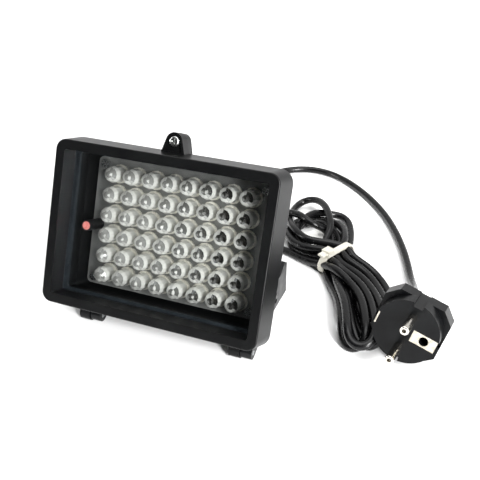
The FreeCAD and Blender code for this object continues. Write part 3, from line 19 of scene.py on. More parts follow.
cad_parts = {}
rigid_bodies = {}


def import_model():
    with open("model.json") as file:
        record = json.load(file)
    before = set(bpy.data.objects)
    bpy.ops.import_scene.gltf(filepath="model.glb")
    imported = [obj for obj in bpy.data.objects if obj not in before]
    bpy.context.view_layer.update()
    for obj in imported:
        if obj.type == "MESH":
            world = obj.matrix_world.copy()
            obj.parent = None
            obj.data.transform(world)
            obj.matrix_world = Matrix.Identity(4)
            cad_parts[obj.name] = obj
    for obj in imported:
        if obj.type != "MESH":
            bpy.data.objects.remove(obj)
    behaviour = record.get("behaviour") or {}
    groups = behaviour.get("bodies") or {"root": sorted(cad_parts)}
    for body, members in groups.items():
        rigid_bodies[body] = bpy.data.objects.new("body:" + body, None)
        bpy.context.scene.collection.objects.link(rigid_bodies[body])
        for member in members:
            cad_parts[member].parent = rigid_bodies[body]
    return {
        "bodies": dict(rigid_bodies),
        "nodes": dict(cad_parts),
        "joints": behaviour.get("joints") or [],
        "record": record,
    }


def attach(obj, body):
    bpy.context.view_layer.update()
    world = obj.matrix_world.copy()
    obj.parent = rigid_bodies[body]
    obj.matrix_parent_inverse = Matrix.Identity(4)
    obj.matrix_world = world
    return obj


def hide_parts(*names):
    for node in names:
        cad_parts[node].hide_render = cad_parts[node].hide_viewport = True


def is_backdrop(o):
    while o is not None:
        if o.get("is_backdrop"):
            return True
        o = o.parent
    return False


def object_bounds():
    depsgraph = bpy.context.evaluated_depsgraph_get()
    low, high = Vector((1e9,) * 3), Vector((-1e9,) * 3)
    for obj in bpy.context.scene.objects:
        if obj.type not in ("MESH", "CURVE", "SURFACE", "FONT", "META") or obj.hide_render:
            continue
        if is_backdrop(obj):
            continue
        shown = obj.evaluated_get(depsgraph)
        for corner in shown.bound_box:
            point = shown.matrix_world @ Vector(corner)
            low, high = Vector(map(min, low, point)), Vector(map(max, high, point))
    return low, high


LOG = logging.getLogger("lamp")

MM = 0.001
MICRON = 1e-6
Pair = tuple[float, float]
Point = tuple[float, float, float]

# Middle part of a noise's values, which is stretched over a whole range
NOISE_MIDDLE = {"From Min": 0.34, "From Max": 0.66}
# Octaves of the broad noises and of the finer ones, and how much of its strength each octave keeps
BROAD = {"Detail": 2.0, "Roughness": 0.55}
FINE = {"Detail": 3.0, "Roughness": 0.55}
# Patches of uneven sheen, as a share of the patches of drifting colour
SHEEN_PATCH = 0.4
# Ridges that a wave texture has in one unit of its scale
RIDGES_PER_SCALE = 3.2


class Grain(Enum):
    """How a surface's grain is drawn out, as scales along the frame's axes."""

    EVEN = (1.0, 1.0, 1.0)
    ALONG_X = (0.06, 1.0, 1.0)


class Ridges(Enum):
    """Axis of the frame that regular ridges follow one another along."""

    X = "X"
    Y = "Y"
    Z = "Z"


@dataclass(frozen=True)
class Finish:
    """How one real material looks, in sRGB hex colours and millimetres.

    Attributes:
        colour: Main colour.
        shade: Second colour that the main one drifts towards.
        drift_mm: Size of the patches of that drift.
        rough: Least and most roughness.
        grain_mm: Size of the surface grain.
        grain_um: Height of the surface grain in thousandths of a millimetre.
        metallic: 1 for bare metal, 0 for the rest.
        drawn: Direction that the grain is drawn out along.
        band_mm: Spacing of regular ridges, or 0 for none.
        band_um: Height of the ridges.
        band_axis: Axis that the ridges follow one another along.
        coat: Weight of a clear coat.
        clear: Share of light let through.
        specular: Strength of the reflection of a surface that isn't metal.
    """

    colour: str
    shade: str
    drift_mm: float
    rough: Pair
    grain_mm: float
    grain_um: float
    metallic: float = 0.0
    drawn: Grain = Grain.EVEN
    band_mm: float = 0.0
    band_um: float = 0.0
    band_axis: Ridges = Ridges.Z
    coat: float = 0.0
    clear: float = 0.0
    specular: float = 0.5


# One finish for each material slot of the record, apart from the window and the emitters
FINISHES: dict[str, Finish] = {
    # Injection moulded ABS, satin black, with the fine spark texture of its mould.
    "frame_plastic": Finish("#070708", "#0b0c0c", 22, (0.3, 0.34), 0.35, 5, specular=0.16),
    # The same black ABS in the rear shell, a little greyer and duller than the front.
    "body_plastic": Finish("#08090a", "#0e0f10", 26, (0.32, 0.38), 0.4, 8, specular=0.22),
    # Extruded silicone cord in the window seat, dark blue grey, with a soft sheen.
    "seal_rubber": Finish("#23282c", "#2f353a", 9, (0.4, 0.55), 0.8, 20, specular=0.4),
    # Drawn steel wire, bright, with die lines along its length.
    "pin_steel": Finish("#b9bbbd", "#8f9294", 3, (0.18, 0.34), 0.25, 2, 1.0, Grain.ALONG_X),
    # Cold headed steel, zinc plated, bright.
    "screw_steel": Finish("#dfe0de", "#aeb0ae", 1.6, (0.16, 0.34), 0.2, 3, 1.0),
    # Epoxy glass laminate under a solder resist whose mid grey is partly painted light, lightened against the
    # shade inside the hood, with fine upright ribs of its weave.
    "board_laminate": Finish(
        "#90908e", "#7e7e7c", 16, (0.34, 0.46), 0.5, 5, band_mm=1.1, band_um=6, band_axis=Ridges.X
    ),
    # Silicon sensor behind a pink tinted epoxy face, glossy.
    "sensor_face": Finish("#f0817b", "#f7a39b", 1.5, (0.2, 0.32), 0.4, 6, coat=0.4),
    # Black nylon sleeve, turned dull by its glass filling.
    "sleeve_plastic": Finish("#121213", "#1b1b1c", 4, (0.5, 0.64), 0.3, 8),
    # Paper phenolic laminate, tan brown and matt.
    "driver_laminate": Finish("#8a6236", "#745029", 7, (0.5, 0.66), 0.6, 10),
    # Stacked silicon steel sheets under varnish, their edges in fine steps.
    "core_steel": Finish(
        "#565a5e", "#3d4043", 4, (0.34, 0.52), 0.3, 8, 0.8, band_mm=0.5, band_um=30, band_axis=Ridges.X
    ),
    # Yellow polyester tape wound over the coil in overlapping turns.
    "coil_wrap": Finish("#d8a428", "#c28d1c", 6, (0.26, 0.4), 0.6, 8, band_mm=3.1, band_um=40),
    # Heat shrunk sleeve of a radial capacitor, dark blue and glossy.
    "capacitor_can": Finish("#182138", "#202c49", 7, (0.22, 0.34), 0.5, 6),
    # Flame retardant case of a film capacitor, ochre, with a matt moulded face.
    "film_box": Finish("#b98f2c", "#a57d24", 6, (0.44, 0.58), 0.35, 9),
    # Moulded black epoxy of a bridge rectifier, matt.
    "rectifier_epoxy": Finish("#1b1b1c", "#252526", 3, (0.56, 0.7), 0.25, 12),
    # Polyamide terminal block, plain green with a satin moulded face.
    "terminal_plastic": Finish("#2f7d4b", "#256a3e", 4, (0.32, 0.46), 0.4, 6),
    # Tinned copper links, silver, uneven in their shine.
    "link_tin": Finish("#c6c7c8", "#a3a5a6", 2, (0.24, 0.4), 0.2, 4, 1.0),
    # Knurled brass insert pressed into the shell.
    "insert_brass": Finish(
        "#b8923c", "#94732c", 2, (0.24, 0.38), 0.2, 6, 1.0, band_mm=0.6, band_um=50, band_axis=Ridges.Y
    ),
    # Acetal friction washer, black and waxy.
    "washer_plastic": Finish("#202021", "#2b2b2c", 3, (0.34, 0.46), 0.4, 4),
    # Socket head bolt, black oxide over steel, slightly oiled.
    "bolt_black": Finish("#2a2b2d", "#1c1d1e", 2, (0.28, 0.44), 0.25, 4, 0.9),
    # Bent sheet steel under black powder coat with its orange peel.
    "bracket_paint": Finish("#0d0e0f", "#131415", 14, (0.34, 0.46), 0.9, 18, specular=0.3),
    # PVC sheath of the lead, extruded, black and satin, almost without grain.
    "cord_rubber": Finish("#050506", "#09090a", 9, (0.25, 0.31), 0.6, 1.5, specular=0.28),
    # Natural nylon tie, warm grey white and slightly translucent, with its fine ratchet teeth.
    "tie_nylon": Finish("#d3d0c7", "#c2beb0", 3, (0.34, 0.46), 0.5, 8, band_mm=1.0, band_um=60, clear=0.12),
    # Uncoated white paper, matt, with visible fibres.
    "tag_paper": Finish("#f1f1ee", "#e2e2dd", 5, (0.72, 0.86), 0.35, 14),
    # Moulded PVC of the plug, black, with a soft sheen.
    "plug_plastic": Finish("#060607", "#0b0c0d", 11, (0.28, 0.33), 0.5, 7, specular=0.15),
    # Nickel plated brass pins, polished.
    "pin_nickel": Finish("#e6e2da", "#c9c4ba", 2.5, (0.12, 0.24), 0.3, 2, 1.0),
    # Tinned spring brass of the earth contact, pale gold grey.
    "contact_brass": Finish("#d2cdc2", "#b3ad9f", 2.5, (0.18, 0.32), 0.3, 3, 1.0),
}

# Stamped steel of the lead frames inside the emitters, silver plated and a little dull.
LEAD_FRAME = Finish("#b6b4ae", "#7d7b76", 0.8, (0.2, 0.4), 0.2, 3, 1.0)
# Gallium arsenide die, dark grey and glassy.
DIE = Finish("#2b2a33", "#1d1c24", 0.3, (0.2, 0.3), 0.2, 1, coat=0.5)


@dataclass(frozen=True)
class WindowLook:
    """Cast acrylic of the window, polished: light goes through, and both faces reflect.

    Attributes:
        tint: Colour of what is seen through it.
        gleam: Colour of its reflections.
        haze_mm: Size of the patches of uneven sheen.
        rough: Least and most roughness of its reflections.
        ior: Index of refraction, for how the reflection grows at a slant.
        reflect: Share of that reflection that is kept.
    """

    tint: str = "#f7f8f8"
    gleam: str = "#f3f7fa"
    haze_mm: float = 14.0
    rough: Pair = (0.02, 0.05)
    ior: float = 1.49
    reflect: float = 0.55


@dataclass(frozen=True)
class PaintedDomeLight:
    """Painted light and shade on the emitters' domes, drawn on them in place of the light they would gather,
    and fixed to them.

    Each dome has a painted pale rim of light, a painted dark heart of shade and one painted upright highlight
    streak, and the last two darken from the left of the field to its right as painted shade. A strength runs
    from 0, dark, to 1, bright, and a share is one of the field's width, from its left.

    Attributes:
        toward: Direction that the hearts face, which is that of the photograph's camera.
        rim_edge: Cosine from that direction at which the rim begins, and at which it is full.
        rim: Strength of the painted rim light.
        field_mm: Left and right end of the field.
        heart: Strength of the painted heart at the left, where 0 is full painted shade.
        heart_fade: Shares between which the heart falls to 0.
        streak_side: Sideways part of the normal at the middle of the painted highlight streak.
        streak_half: Half width of the streak where it is full and where it ends.
        streak_fade: Shares between which the painted highlight streak fades.
        streak_left: Strength of the streak that is left at the right.
        wobble: How far the streak's middle wanders.
        wobble_mm: Size of the patches of that wandering.
    """

    toward: Point = (0.31, -0.80, 0.51)
    rim_edge: Pair = (0.87, 0.7)
    rim: float = 0.9
    field_mm: Pair = (-45.0, 48.0)
    heart: float = 0.3
    heart_fade: Pair = (0.3, 0.8)
    streak_side: float = 0.3
    streak_half: Pair = (0.02, 0.14)
    streak_fade: Pair = (0.62, 0.85)
    streak_left: float = 0.1
    wobble: float = 0.07
    wobble_mm: float = 5.0


@dataclass(frozen=True)
class EpoxyLook:
    """Cast clear epoxy of the emitters: a glossy dome with painted light and shade over a flange that
    scatters cream.

    Attributes:
        dark: Colour of the painted shade on the dome.
        bright: Colour of the painted light on the dome.
        pattern: Share of the dome's look that is painted light and shade, the rest being clear glass.
        painted_light_rough: Roughness under the gloss of the painted light and shade.
        gloss_rough: Roughness of the gloss itself.
        glass: Colour of the clear glass.
        through: Colour of light that passes the glass on to what lies behind.
        glass_rough: Roughness of the glass.
        ior: Index of refraction of the epoxy.
        swirl_mm: Size and height of the swirls in the casting.
        swirl_strength: Strength of the swirls.
        cream: Colours between which the flange drifts.
        cream_rough: Roughness of the flange.
        cream_gloss: Weight of the gloss on the flange.
        turn_mm: Depths before the flange's front between which the dome turns to cream.
    """

    dark: str = "#1f1e1c"
    bright: str = "#fbfaf4"
    pattern: float = 0.8
    painted_light_rough: float = 0.06
    gloss_rough: float = 0.04
    glass: str = "#fcfcfd"
    through: str = "#f7f8f8"
    glass_rough: float = 0.03
    ior: float = 1.53
    swirl_mm: Pair = (3.0, 0.03)
    swirl_strength: float = 0.3
    cream: tuple[str, str] = ("#f5f3ea", "#e4e0d4")
    cream_rough: float = 0.3
    cream_gloss: float = 0.6
    turn_mm: Pair = (2.2, 0.4)


def linear(code: str) -> tuple[float, float, float, float]:
    """Turn an sRGB hex colour into a linear one.

    Args:
        code: Colour such as "#1a2b3c".

    Returns:
        Red, green, blue and alpha for a shader socket.
    """
    parts = [int(code[i : i + 2], 16) / 255 for i in (1, 3, 5)]
    red, green, blue = (c / 12.92 if c <= 0.04045 else ((c + 0.055) / 1.055) ** 2.4 for c in parts)
    return red, green, blue, 1.0


def fineness(size_mm: float) -> float:
    """Give the scale at which a noise's patches have a size in millimetres.

    Args:
        size_mm: Size of the patches.

    Returns:
        The scale, for coordinates in metres.
    """
    return 1 / (size_mm * MM)


class NodeSheet:
    """A node tree being filled, with one call that adds any node."""

    def __init__(self, tree: bpy.types.NodeTree) -> None:
        """Start with an empty tree.

        Args:
            tree: Tree of a material or of the world.
        """
        self.tree = tree
        tree.nodes.clear()

    def add(self, kind: str, inputs: dict[Any, Any] | None = None, **settings: Any) -> bpy.types.Node:
        """Add one node, set it up and wire its inputs.

        Args:
            kind: Type name of the node after "ShaderNode".
            inputs: For each input, by name or number, its value, or the node or socket that feeds it.
            **settings: Properties of the node itself.

        Returns:
            The new node.
        """
        node = self.tree.nodes.new("ShaderNode" + kind)
        for name, value in settings.items():
            setattr(node, name, value)
        for name, value in (inputs or {}).items():
            feed = value.outputs[0] if isinstance(value, bpy.types.Node) else value
            if isinstance(feed, bpy.types.NodeSocket):
                self.tree.links.new(feed, node.inputs[name])
            else:
                node.inputs[name].default_value = feed
        return node


class MaterialShop:
    """Makes each material once and hands it out again."""

    def __init__(self) -> None:
        """Start with no materials made."""
        self.made: dict[str, bpy.types.Material] = {}

    def sheet(self, name: str) -> tuple[bpy.types.Material, NodeSheet]:
        """Start an empty node material.

        Args:
            name: Name of the material.

        Returns:
            The material and its sheet.
        """
        material = bpy.data.materials.new(name)
        material.use_nodes = True
        self.made[name] = material
        return material, NodeSheet(material.node_tree)

    def finish(self, name: str, look: Finish) -> bpy.types.Material:
        """Build a material from a finish: drifting colour, uneven sheen, grain and ridges.

        Args:
            name: Name of the material.
            look: The finish to build.

        Returns:
            The material.
        """
        if name in self.made:
            return self.made[name]
        material, sheet = self.sheet(name)
        place = sheet.add("TexCoord").outputs["Object"]
        inputs = {"Vector": place, "Scale": fineness(look.drift_mm), **FINE}
        drift = sheet.add("TexNoise", inputs)
        share = sheet.add("MapRange", {"Value": drift, **NOISE_MIDDLE})
        colours = {0: share, 6: linear(look.colour), 7: linear(look.shade)}
        colour = sheet.add("Mix", colours, data_type="RGBA").outputs[2]
        drawn = sheet.add("Mapping", {"Vector": place, "Scale": look.drawn.value})
        inputs = {"Vector": drawn, "Scale": fineness(look.grain_mm), **FINE}
        grain = sheet.add("TexNoise", inputs)
        inputs = {"Vector": drawn, "Scale": fineness(look.drift_mm * SHEEN_PATCH), **BROAD}
        patches = sheet.add("TexNoise", inputs)
        limits = {"To Min": look.rough[0], "To Max": look.rough[1]}
        sheen = sheet.add("MapRange", {"Value": patches, **NOISE_MIDDLE, **limits})
        inputs = {"Height": grain, "Strength": 1.0, "Distance": look.grain_um * MICRON}
        bump = sheet.add("Bump", inputs)
        if look.band_mm:
            inputs = {"Vector": place, "Scale": fineness(look.band_mm) / RIDGES_PER_SCALE, "Distortion": 0.0}
            bands = sheet.add("TexWave", inputs, bands_direction=look.band_axis.value)
            inputs = {"Height": bands.outputs["Fac"], "Distance": look.band_um * MICRON, "Normal": bump}
            bump = sheet.add("Bump", inputs)
        inputs = {
            "Base Color": colour,
            "Roughness": sheen,
            "Metallic": look.metallic,
            "Normal": bump,
            "Coat Weight": look.coat,
            "Transmission Weight": look.clear,
        }
        if not look.metallic:
            inputs["Specular IOR Level"] = look.specular
        skin = sheet.add("BsdfPrincipled", inputs)
        sheet.add("OutputMaterial", {"Surface": skin})
        return material

    def window(self, look: WindowLook = WindowLook()) -> bpy.types.Material:
        """Build the clear acrylic of the window.

        Args:
            look: How it looks.

        Returns:
            The material.
        """
        material, sheet = self.sheet("window_clear")
        place = sheet.add("TexCoord").outputs["Object"]
        inputs = {"Vector": place, "Scale": fineness(look.haze_mm), **FINE}
        haze = sheet.add("TexNoise", inputs)
        limits = {"To Min": look.rough[0], "To Max": look.rough[1]}
        sheen = sheet.add("MapRange", {"Value": haze, **NOISE_MIDDLE, **limits})
        through = sheet.add("BsdfTransparent", {"Color": linear(look.tint)})
        mirror = sheet.add("BsdfGlossy", {"Color": linear(look.gleam), "Roughness": sheen})
        facing = sheet.add("Fresnel", {"IOR": look.ior})
        share = sheet.add("Math", {0: facing, 1: look.reflect}, operation="MULTIPLY")
        pane = sheet.add("MixShader", {0: share, 1: through, 2: mirror})
        sheet.add("OutputMaterial", {"Surface": pane})
        return material

    def dome(self, sheet: NodeSheet, place: bpy.types.NodeSocket, look: PaintedDomeLight) -> bpy.types.Node:
        """Paint the light and shade that a dome would gather, as a value fixed to it.

        Args:
            sheet: Node tree of the emitters.
            place: Object coordinates.
            look: The painted light and shade.

        Returns:
            Node whose value runs from 0, painted shade, to 1, painted light.
        """
        normal = sheet.add("TexCoord").outputs["Normal"]
        sideways = sheet.add("SeparateXYZ", {0: normal})
        across = sheet.add("SeparateXYZ", {0: place})
        ends = {"From Min": look.field_mm[0] * MM, "From Max": look.field_mm[1] * MM}
        column = sheet.add("MapRange", {"Value": across, **ends})

        # Painted shade in each dome's heart, lighter at the left of the field and darker towards its right.
        fall = {"From Min": look.heart_fade[0], "From Max": look.heart_fade[1]}
        inputs = {"Value": column, **fall, "To Min": look.heart, "To Max": 0.0}
        heart = sheet.add("MapRange", inputs)

        # Painted highlight: one upright streak on each dome, its middle wandering a little, fading towards
        # the right of the field.
        inputs = {"Vector": place, "Scale": fineness(look.wobble_mm), **BROAD}
        patches = sheet.add("TexNoise", inputs)
        limits = {"To Min": -look.wobble, "To Max": look.wobble}
        wobble = sheet.add("MapRange", {"Value": patches, **NOISE_MIDDLE, **limits})
        wander = sheet.add("Math", {0: sideways, 1: wobble}, operation="ADD")
        centre = sheet.add("Math", {0: wander, 1: look.streak_side}, operation="SUBTRACT")
        beside = sheet.add("Math", {0: centre}, operation="ABSOLUTE")
        edges = {"From Min": look.streak_half[0], "From Max": look.streak_half[1]}
        inputs = {"Value": beside, **edges, "To Min": 1.0, "To Max": 0.0}
        streak = sheet.add("MapRange", inputs, interpolation_type="SMOOTHSTEP")
        fall = {"From Min": look.streak_fade[0], "From Max": look.streak_fade[1]}
        inputs = {"Value": column, **fall, "To Min": 1.0, "To Max": look.streak_left}
        fade = sheet.add("MapRange", inputs)
        line = sheet.add("Math", {0: streak, 1: fade}, operation="MULTIPLY")

        # Painted light on each dome's rim, where the normal turns away from a fixed direction.
        facing = sheet.add("VectorMath", {0: normal, 1: look.toward}, operation="DOT_PRODUCT")
        edges = {"From Min": look.rim_edge[0], "From Max": look.rim_edge[1]}
        inputs = {"Value": facing.outputs["Value"], **edges, "To Min": 0.0, "To Max": look.rim}
        rim = sheet.add("MapRange", inputs, interpolation_type="SMOOTHSTEP")

        pale = sheet.add("Math", {0: rim, 1: heart}, operation="MAXIMUM")
        return sheet.add("Math", {0: pale, 1: line}, operation="MAXIMUM")

    def emitter(self, flange_depth: float, back: Point, look: EpoxyLook = EpoxyLook()) -> bpy.types.Material:
        """Build the emitters' epoxy: a dome with painted light and shade over a cream flange.

        Args:
            flange_depth: Where the flange starts, measured along back, in metres.
            back: Direction into the lamp.
            look: How the epoxy looks.

        Returns:
            The material.
        """
        material, sheet = self.sheet("emitter_epoxy")
        place = sheet.add("TexCoord").outputs["Object"]
        depth = sheet.add("VectorMath", {0: place, 1: back}, operation="DOT_PRODUCT")
        starts = [flange_depth - before * MM for before in look.turn_mm]
        inputs = {"Value": depth.outputs["Value"], "From Min": starts[0], "From Max": starts[1]}
        share = sheet.add("MapRange", inputs, interpolation_type="SMOOTHSTEP")
        inputs = {"Vector": place, "Scale": fineness(look.swirl_mm[0]), **BROAD}
        swirl = sheet.add("TexNoise", inputs)

        rise = {"Strength": look.swirl_strength, "Distance": look.swirl_mm[1] * MM}
        bump = sheet.add("Bump", {"Height": swirl, **rise})
        inputs = {"Color": linear(look.glass), "Roughness": look.glass_rough, "IOR": look.ior, "Normal": bump}
        glass = sheet.add("BsdfGlass", inputs)
        through = sheet.add("BsdfTransparent", {"Color": linear(look.through)})
        # Light on its way to the die and the board passes the dome unbent, so that they are lit
        path = sheet.add("LightPath").outputs
        rays = {0: path["Is Shadow Ray"], 1: path["Is Diffuse Ray"]}
        lit = sheet.add("Math", rays, operation="MAXIMUM")
        clear = sheet.add("MixShader", {0: lit, 1: glass, 2: through})

        # Painted light and shade on the dome: its colour runs from dark to bright with the painted rim, heart
        # and highlight streak.
        colours = {0: self.dome(sheet, place, PaintedDomeLight()), 6: linear(look.dark), 7: linear(look.bright)}
        painted_light_colour = sheet.add("Mix", colours, data_type="RGBA").outputs[2]
        inputs = {"Base Color": painted_light_colour, "Roughness": look.painted_light_rough}
        painted_light_skin = sheet.add(
            "BsdfPrincipled", {**inputs, "Coat Weight": 1.0, "Coat Roughness": look.gloss_rough}
        )
        lens = sheet.add("MixShader", {0: look.pattern, 1: clear, 2: painted_light_skin})

        drift = sheet.add("MapRange", {"Value": swirl, **NOISE_MIDDLE})
        colours = {0: drift, 6: linear(look.cream[0]), 7: linear(look.cream[1])}
        cream = sheet.add("Mix", colours, data_type="RGBA").outputs[2]
        inputs = {"Base Color": cream, "Roughness": look.cream_rough, "Coat Weight": look.cream_gloss}
        flange = sheet.add("BsdfPrincipled", inputs)
        whole = sheet.add("MixShader", {0: share, 1: lens, 2: flange})
        sheet.add("OutputMaterial", {"Surface": whole})
        return material


def metres(*places: Point) -> list[Point]:
    """Turn places in millimetres into metres.

    Args:
        *places: The places.

    Returns:
        The same places in metres.
    """
    return [(right * MM, back * MM, up * MM) for right, back, up in places]


# The lead from its strain relief down behind the lamp to the bundle
LEAD_OUT = metres(
    (10.0, 69.4, 37.0), (10.0, 84.2, 30.9), (10.8, 98.0, 20.0), (14.5, 109.5, 12.8),
    (22.5, 117.5, 10.0), (34.0, 121.5, 9.7),
)

# Its arc into the bundle, from on top of the other strands down to the table
BUNDLE_ENTRY = metres(
    (42.4, 114.8, 12.7), (49.3, 109.5, 12.1), (54.6, 109.1, 10.3), (58.8, 111.5, 7.8),
    (62.5, 112.5, 5.3), (66.0, 110.8, 3.5), (68.9, 106.4, 2.6), (70.9, 98.7, 2.6), (72.2, 87.4, 3.6),
)

# Turns of the bundle: through the tie low, round the near end, back through it high and round the far end,
# which the last turn leaves out. The strands were marked, then spaced and smoothed.
BUNDLE_TURNS = (
    metres(
        (77.4, 73.1, 4.4), (84.0, 56.3, 6.0), (90.7, 39.7, 9.7), (98.1, 23.7, 12.3),
        (103.5, 7.7, 12.4), (106.8, -4.3, 11.8), (109.2, -8.5, 10.0), (111.5, -10.4, 8.9),
        (113.9, -11.3, 8.4), (116.3, -11.2, 8.4), (118.7, -10.4, 8.9), (120.8, -8.5, 10.0),
        (122.3, -5.0, 11.8), (121.6, 2.8, 12.7), (117.5, 16.7, 11.8), (112.4, 30.3, 11.0),
        (106.8, 40.8, 10.5), (100.9, 48.6, 10.0), (94.5, 54.3, 9.6), (88.6, 58.4, 9.8),
        (84.2, 61.8, 10.7), (80.6, 65.2, 11.0), (75.4, 69.2, 9.5), (66.5, 73.9, 6.0),
        (57.0, 78.8, 3.4), (49.0, 82.9, 2.6), (43.7, 87.8, 2.7), (41.7, 94.8, 2.6), (41.2, 103.4, 2.6),
        (41.2, 112.4, 2.6), (43.5, 120.0, 2.6), (48.3, 124.5, 3.1), (54.7, 125.6, 3.6),
        (61.1, 123.6, 3.7), (66.8, 118.9, 3.0), (72.0, 112.4, 2.6), (75.7, 103.8, 2.7),
        (77.0, 92.2, 2.6),
    ),
    metres(
        (80.1, 77.6, 2.7), (86.6, 63.0, 2.6), (92.1, 48.3, 5.3), (97.5, 34.5, 7.2), (101.7, 22.0, 7.6),
        (105.6, 11.6, 7.3), (109.1, 4.1, 5.9), (112.0, -0.1, 3.8), (115.1, -1.8, 2.6),
        (118.7, -2.9, 2.7), (122.4, -3.1, 4.9), (126.0, -0.9, 8.6), (126.7, 4.3, 12.1),
        (124.0, 13.7, 12.4), (120.0, 25.8, 11.2), (114.8, 37.7, 9.7), (108.7, 47.6, 8.9),
        (102.2, 55.2, 8.9), (95.5, 60.8, 8.7), (89.1, 65.0, 8.6), (84.2, 68.5, 8.7), (81.6, 71.9, 9.1),
        (77.8, 74.7, 9.9), (70.6, 75.9, 11.7), (61.4, 75.6, 10.8), (52.7, 78.0, 9.6),
        (44.7, 85.4, 8.9), (37.6, 96.8, 6.9), (35.3, 109.4, 2.8), (37.4, 119.6, 2.6),
        (41.4, 126.3, 2.9), (47.1, 129.9, 2.7), (53.9, 131.1, 2.6), (61.3, 129.8, 3.6),
        (68.6, 124.7, 5.1), (74.8, 115.7, 6.5), (78.5, 105.1, 7.5), (80.1, 94.2, 7.5),
    ),
    metres(
        (83.0, 81.9, 4.7), (90.3, 68.7, 3.4), (95.3, 55.2, 2.6), (98.5, 42.4, 2.6), (101.7, 30.3, 2.6),
        (106.2, 19.0, 2.7), (110.7, 9.4, 2.6), (115.2, 4.2, 2.7), (119.4, 2.5, 2.6), (122.8, 2.2, 2.8),
        (126.1, 3.2, 4.5), (128.8, 6.4, 7.1), (129.3, 13.2, 9.8), (126.4, 23.5, 10.1),
        (121.5, 35.4, 8.1), (115.8, 47.1, 6.4), (109.9, 56.8, 6.2), (103.8, 63.7, 7.0),
        (97.4, 67.9, 8.1), (91.2, 70.8, 9.0), (86.7, 73.9, 9.6), (84.4, 77.7, 9.8), (80.1, 80.2, 9.7),
        (71.9, 80.6, 9.0), (61.3, 81.6, 6.7), (52.5, 86.8, 5.9), (46.8, 94.0, 6.2), (44.2, 101.4, 7.2),
        (43.4, 108.3, 7.6), (44.2, 115.0, 7.2), (45.5, 121.5, 8.6), (48.8, 128.1, 8.8),
        (54.1, 134.5, 7.0), (60.5, 138.9, 4.8), (66.6, 139.8, 4.1), (72.1, 136.2, 3.9),
        (76.6, 128.5, 3.3), (79.7, 118.7, 2.8), (81.8, 108.6, 2.6), (83.2, 98.4, 2.6),
    ),
    metres(
        (85.7, 86.4, 3.3), (94.6, 72.7, 2.6), (100.7, 56.4, 3.2), (103.9, 40.0, 5.4),
        (107.1, 26.0, 6.8), (112.1, 15.7, 6.8), (116.1, 10.6, 4.8), (119.0, 8.5, 3.3),
        (121.8, 7.8, 2.6), (124.8, 8.3, 2.6), (127.7, 10.3, 2.8), (130.2, 14.3, 4.1),
        (130.7, 22.3, 6.0), (128.0, 33.5, 6.2), (123.5, 45.6, 4.6), (118.2, 57.0, 2.8),
        (112.5, 66.3, 2.6), (106.5, 72.6, 3.6), (100.4, 75.8, 5.5), (94.6, 77.2, 7.5),
        (90.1, 79.0, 9.0), (87.4, 82.4, 10.2), (82.9, 85.7, 10.4), (74.3, 85.9, 11.5),
        (65.2, 84.7, 11.8), (58.0, 84.3, 11.8), (51.2, 87.4, 12.1), (43.4, 95.8, 12.1),
        (35.6, 110.5, 8.5), (30.8, 128.4, 3.0), (29.8, 143.1, 2.6), (33.4, 150.7, 4.6),
        (40.3, 151.3, 7.8), (48.6, 145.3, 10.7), (56.0, 135.2, 12.2), (61.5, 124.0, 11.9),
        (65.4, 114.3, 10.6), (66.9, 105.9, 8.2), (66.0, 96.1, 5.2), (67.6, 82.8, 2.6),
    ),
    metres(
        (74.5, 68.7, 3.1), (78.9, 56.7, 2.6), (85.1, 46.5, 3.0), (91.6, 34.0, 5.3), (97.4, 17.9, 7.8),
        (102.0, 3.1, 7.7), (104.1, -2.4, 4.9), (106.0, -4.8, 3.3), (108.0, -6.3, 2.6),
        (110.0, -7.1, 2.6), (111.9, -7.4, 3.1), (113.9, -7.3, 4.1), (115.6, -6.5, 5.8),
        (117.1, -4.6, 8.3), (116.8, 0.1, 11.7), (113.0, 13.0, 12.3), (108.3, 26.2, 12.1),
        (103.1, 36.1, 11.4), (97.4, 42.8, 11.1), (91.9, 48.0, 11.9), (86.1, 52.8, 12.5),
        (80.1, 58.2, 10.9), (72.9, 65.0, 6.9), (60.1, 71.2, 3.4),
    ),
)

# The lead from the bundle round behind the lamp and in a wide bow to the plug
LEAD_BACK = metres(
    (45.0, 78.5, 2.7), (30.0, 83.0, 2.7), (15.0, 91.5, 2.7), (2.0, 104.0, 2.7), (-8.0, 119.5, 2.7),
    (-14.0, 137.5, 2.7), (-16.0, 157.0, 2.7), (-13.5, 176.5, 2.7), (-6.5, 194.5, 2.7),
    (5.0, 208.0, 2.7), (20.5, 215.0, 2.7), (37.5, 213.5, 2.7), (54.0, 204.5, 2.7), (70.0, 190.5, 2.7),
    (84.5, 174.0, 2.7), (97.5, 155.5, 2.7), (108.0, 136.0, 2.7), (117.0, 115.5, 2.7),
    (124.5, 94.5, 2.7), (130.0, 74.0, 3.6), (135.0, 55.0, 8.8), (136.1, 42.6, 14.7),
    (137.4, 33.8, 15.9),
)


@dataclass(frozen=True)
class LampFrame:
    """The lamp's own axes: X right, Y into the lamp, Z up its leaning front face.

    Attributes:
        lean: Angle that the lamp leans back, in degrees.
        origin: Middle of the front face in the frame of the model, in metres.
    """

    lean: float = 22.5
    origin: Point = (0.0, -29.1 * MM, 60.53 * MM)

    def matrix(self) -> Matrix:
        """Give the transform from the lamp's axes to the model's.

        Returns:
            A 4 by 4 matrix.
        """
        return Matrix.Translation(self.origin) @ Matrix.Rotation(-math.radians(self.lean), 4, "X")

    def back(self) -> Point:
        """Give the direction into the lamp, in the model's axes.

        Returns:
            A unit vector.
        """
        turn = math.radians(self.lean)
        return 0.0, math.cos(turn), -math.sin(turn)

    def depth(self, back_mm: float) -> float:
        """Give how far along that direction a depth behind the front face lies.

        Args:
            back_mm: Depth behind the front face in millimetres.

        Returns:
            The distance from the model's origin along that direction, in metres.
        """
        return back_mm * MM + Vector(self.origin).dot(Vector(self.back()))


LAMP = LampFrame()


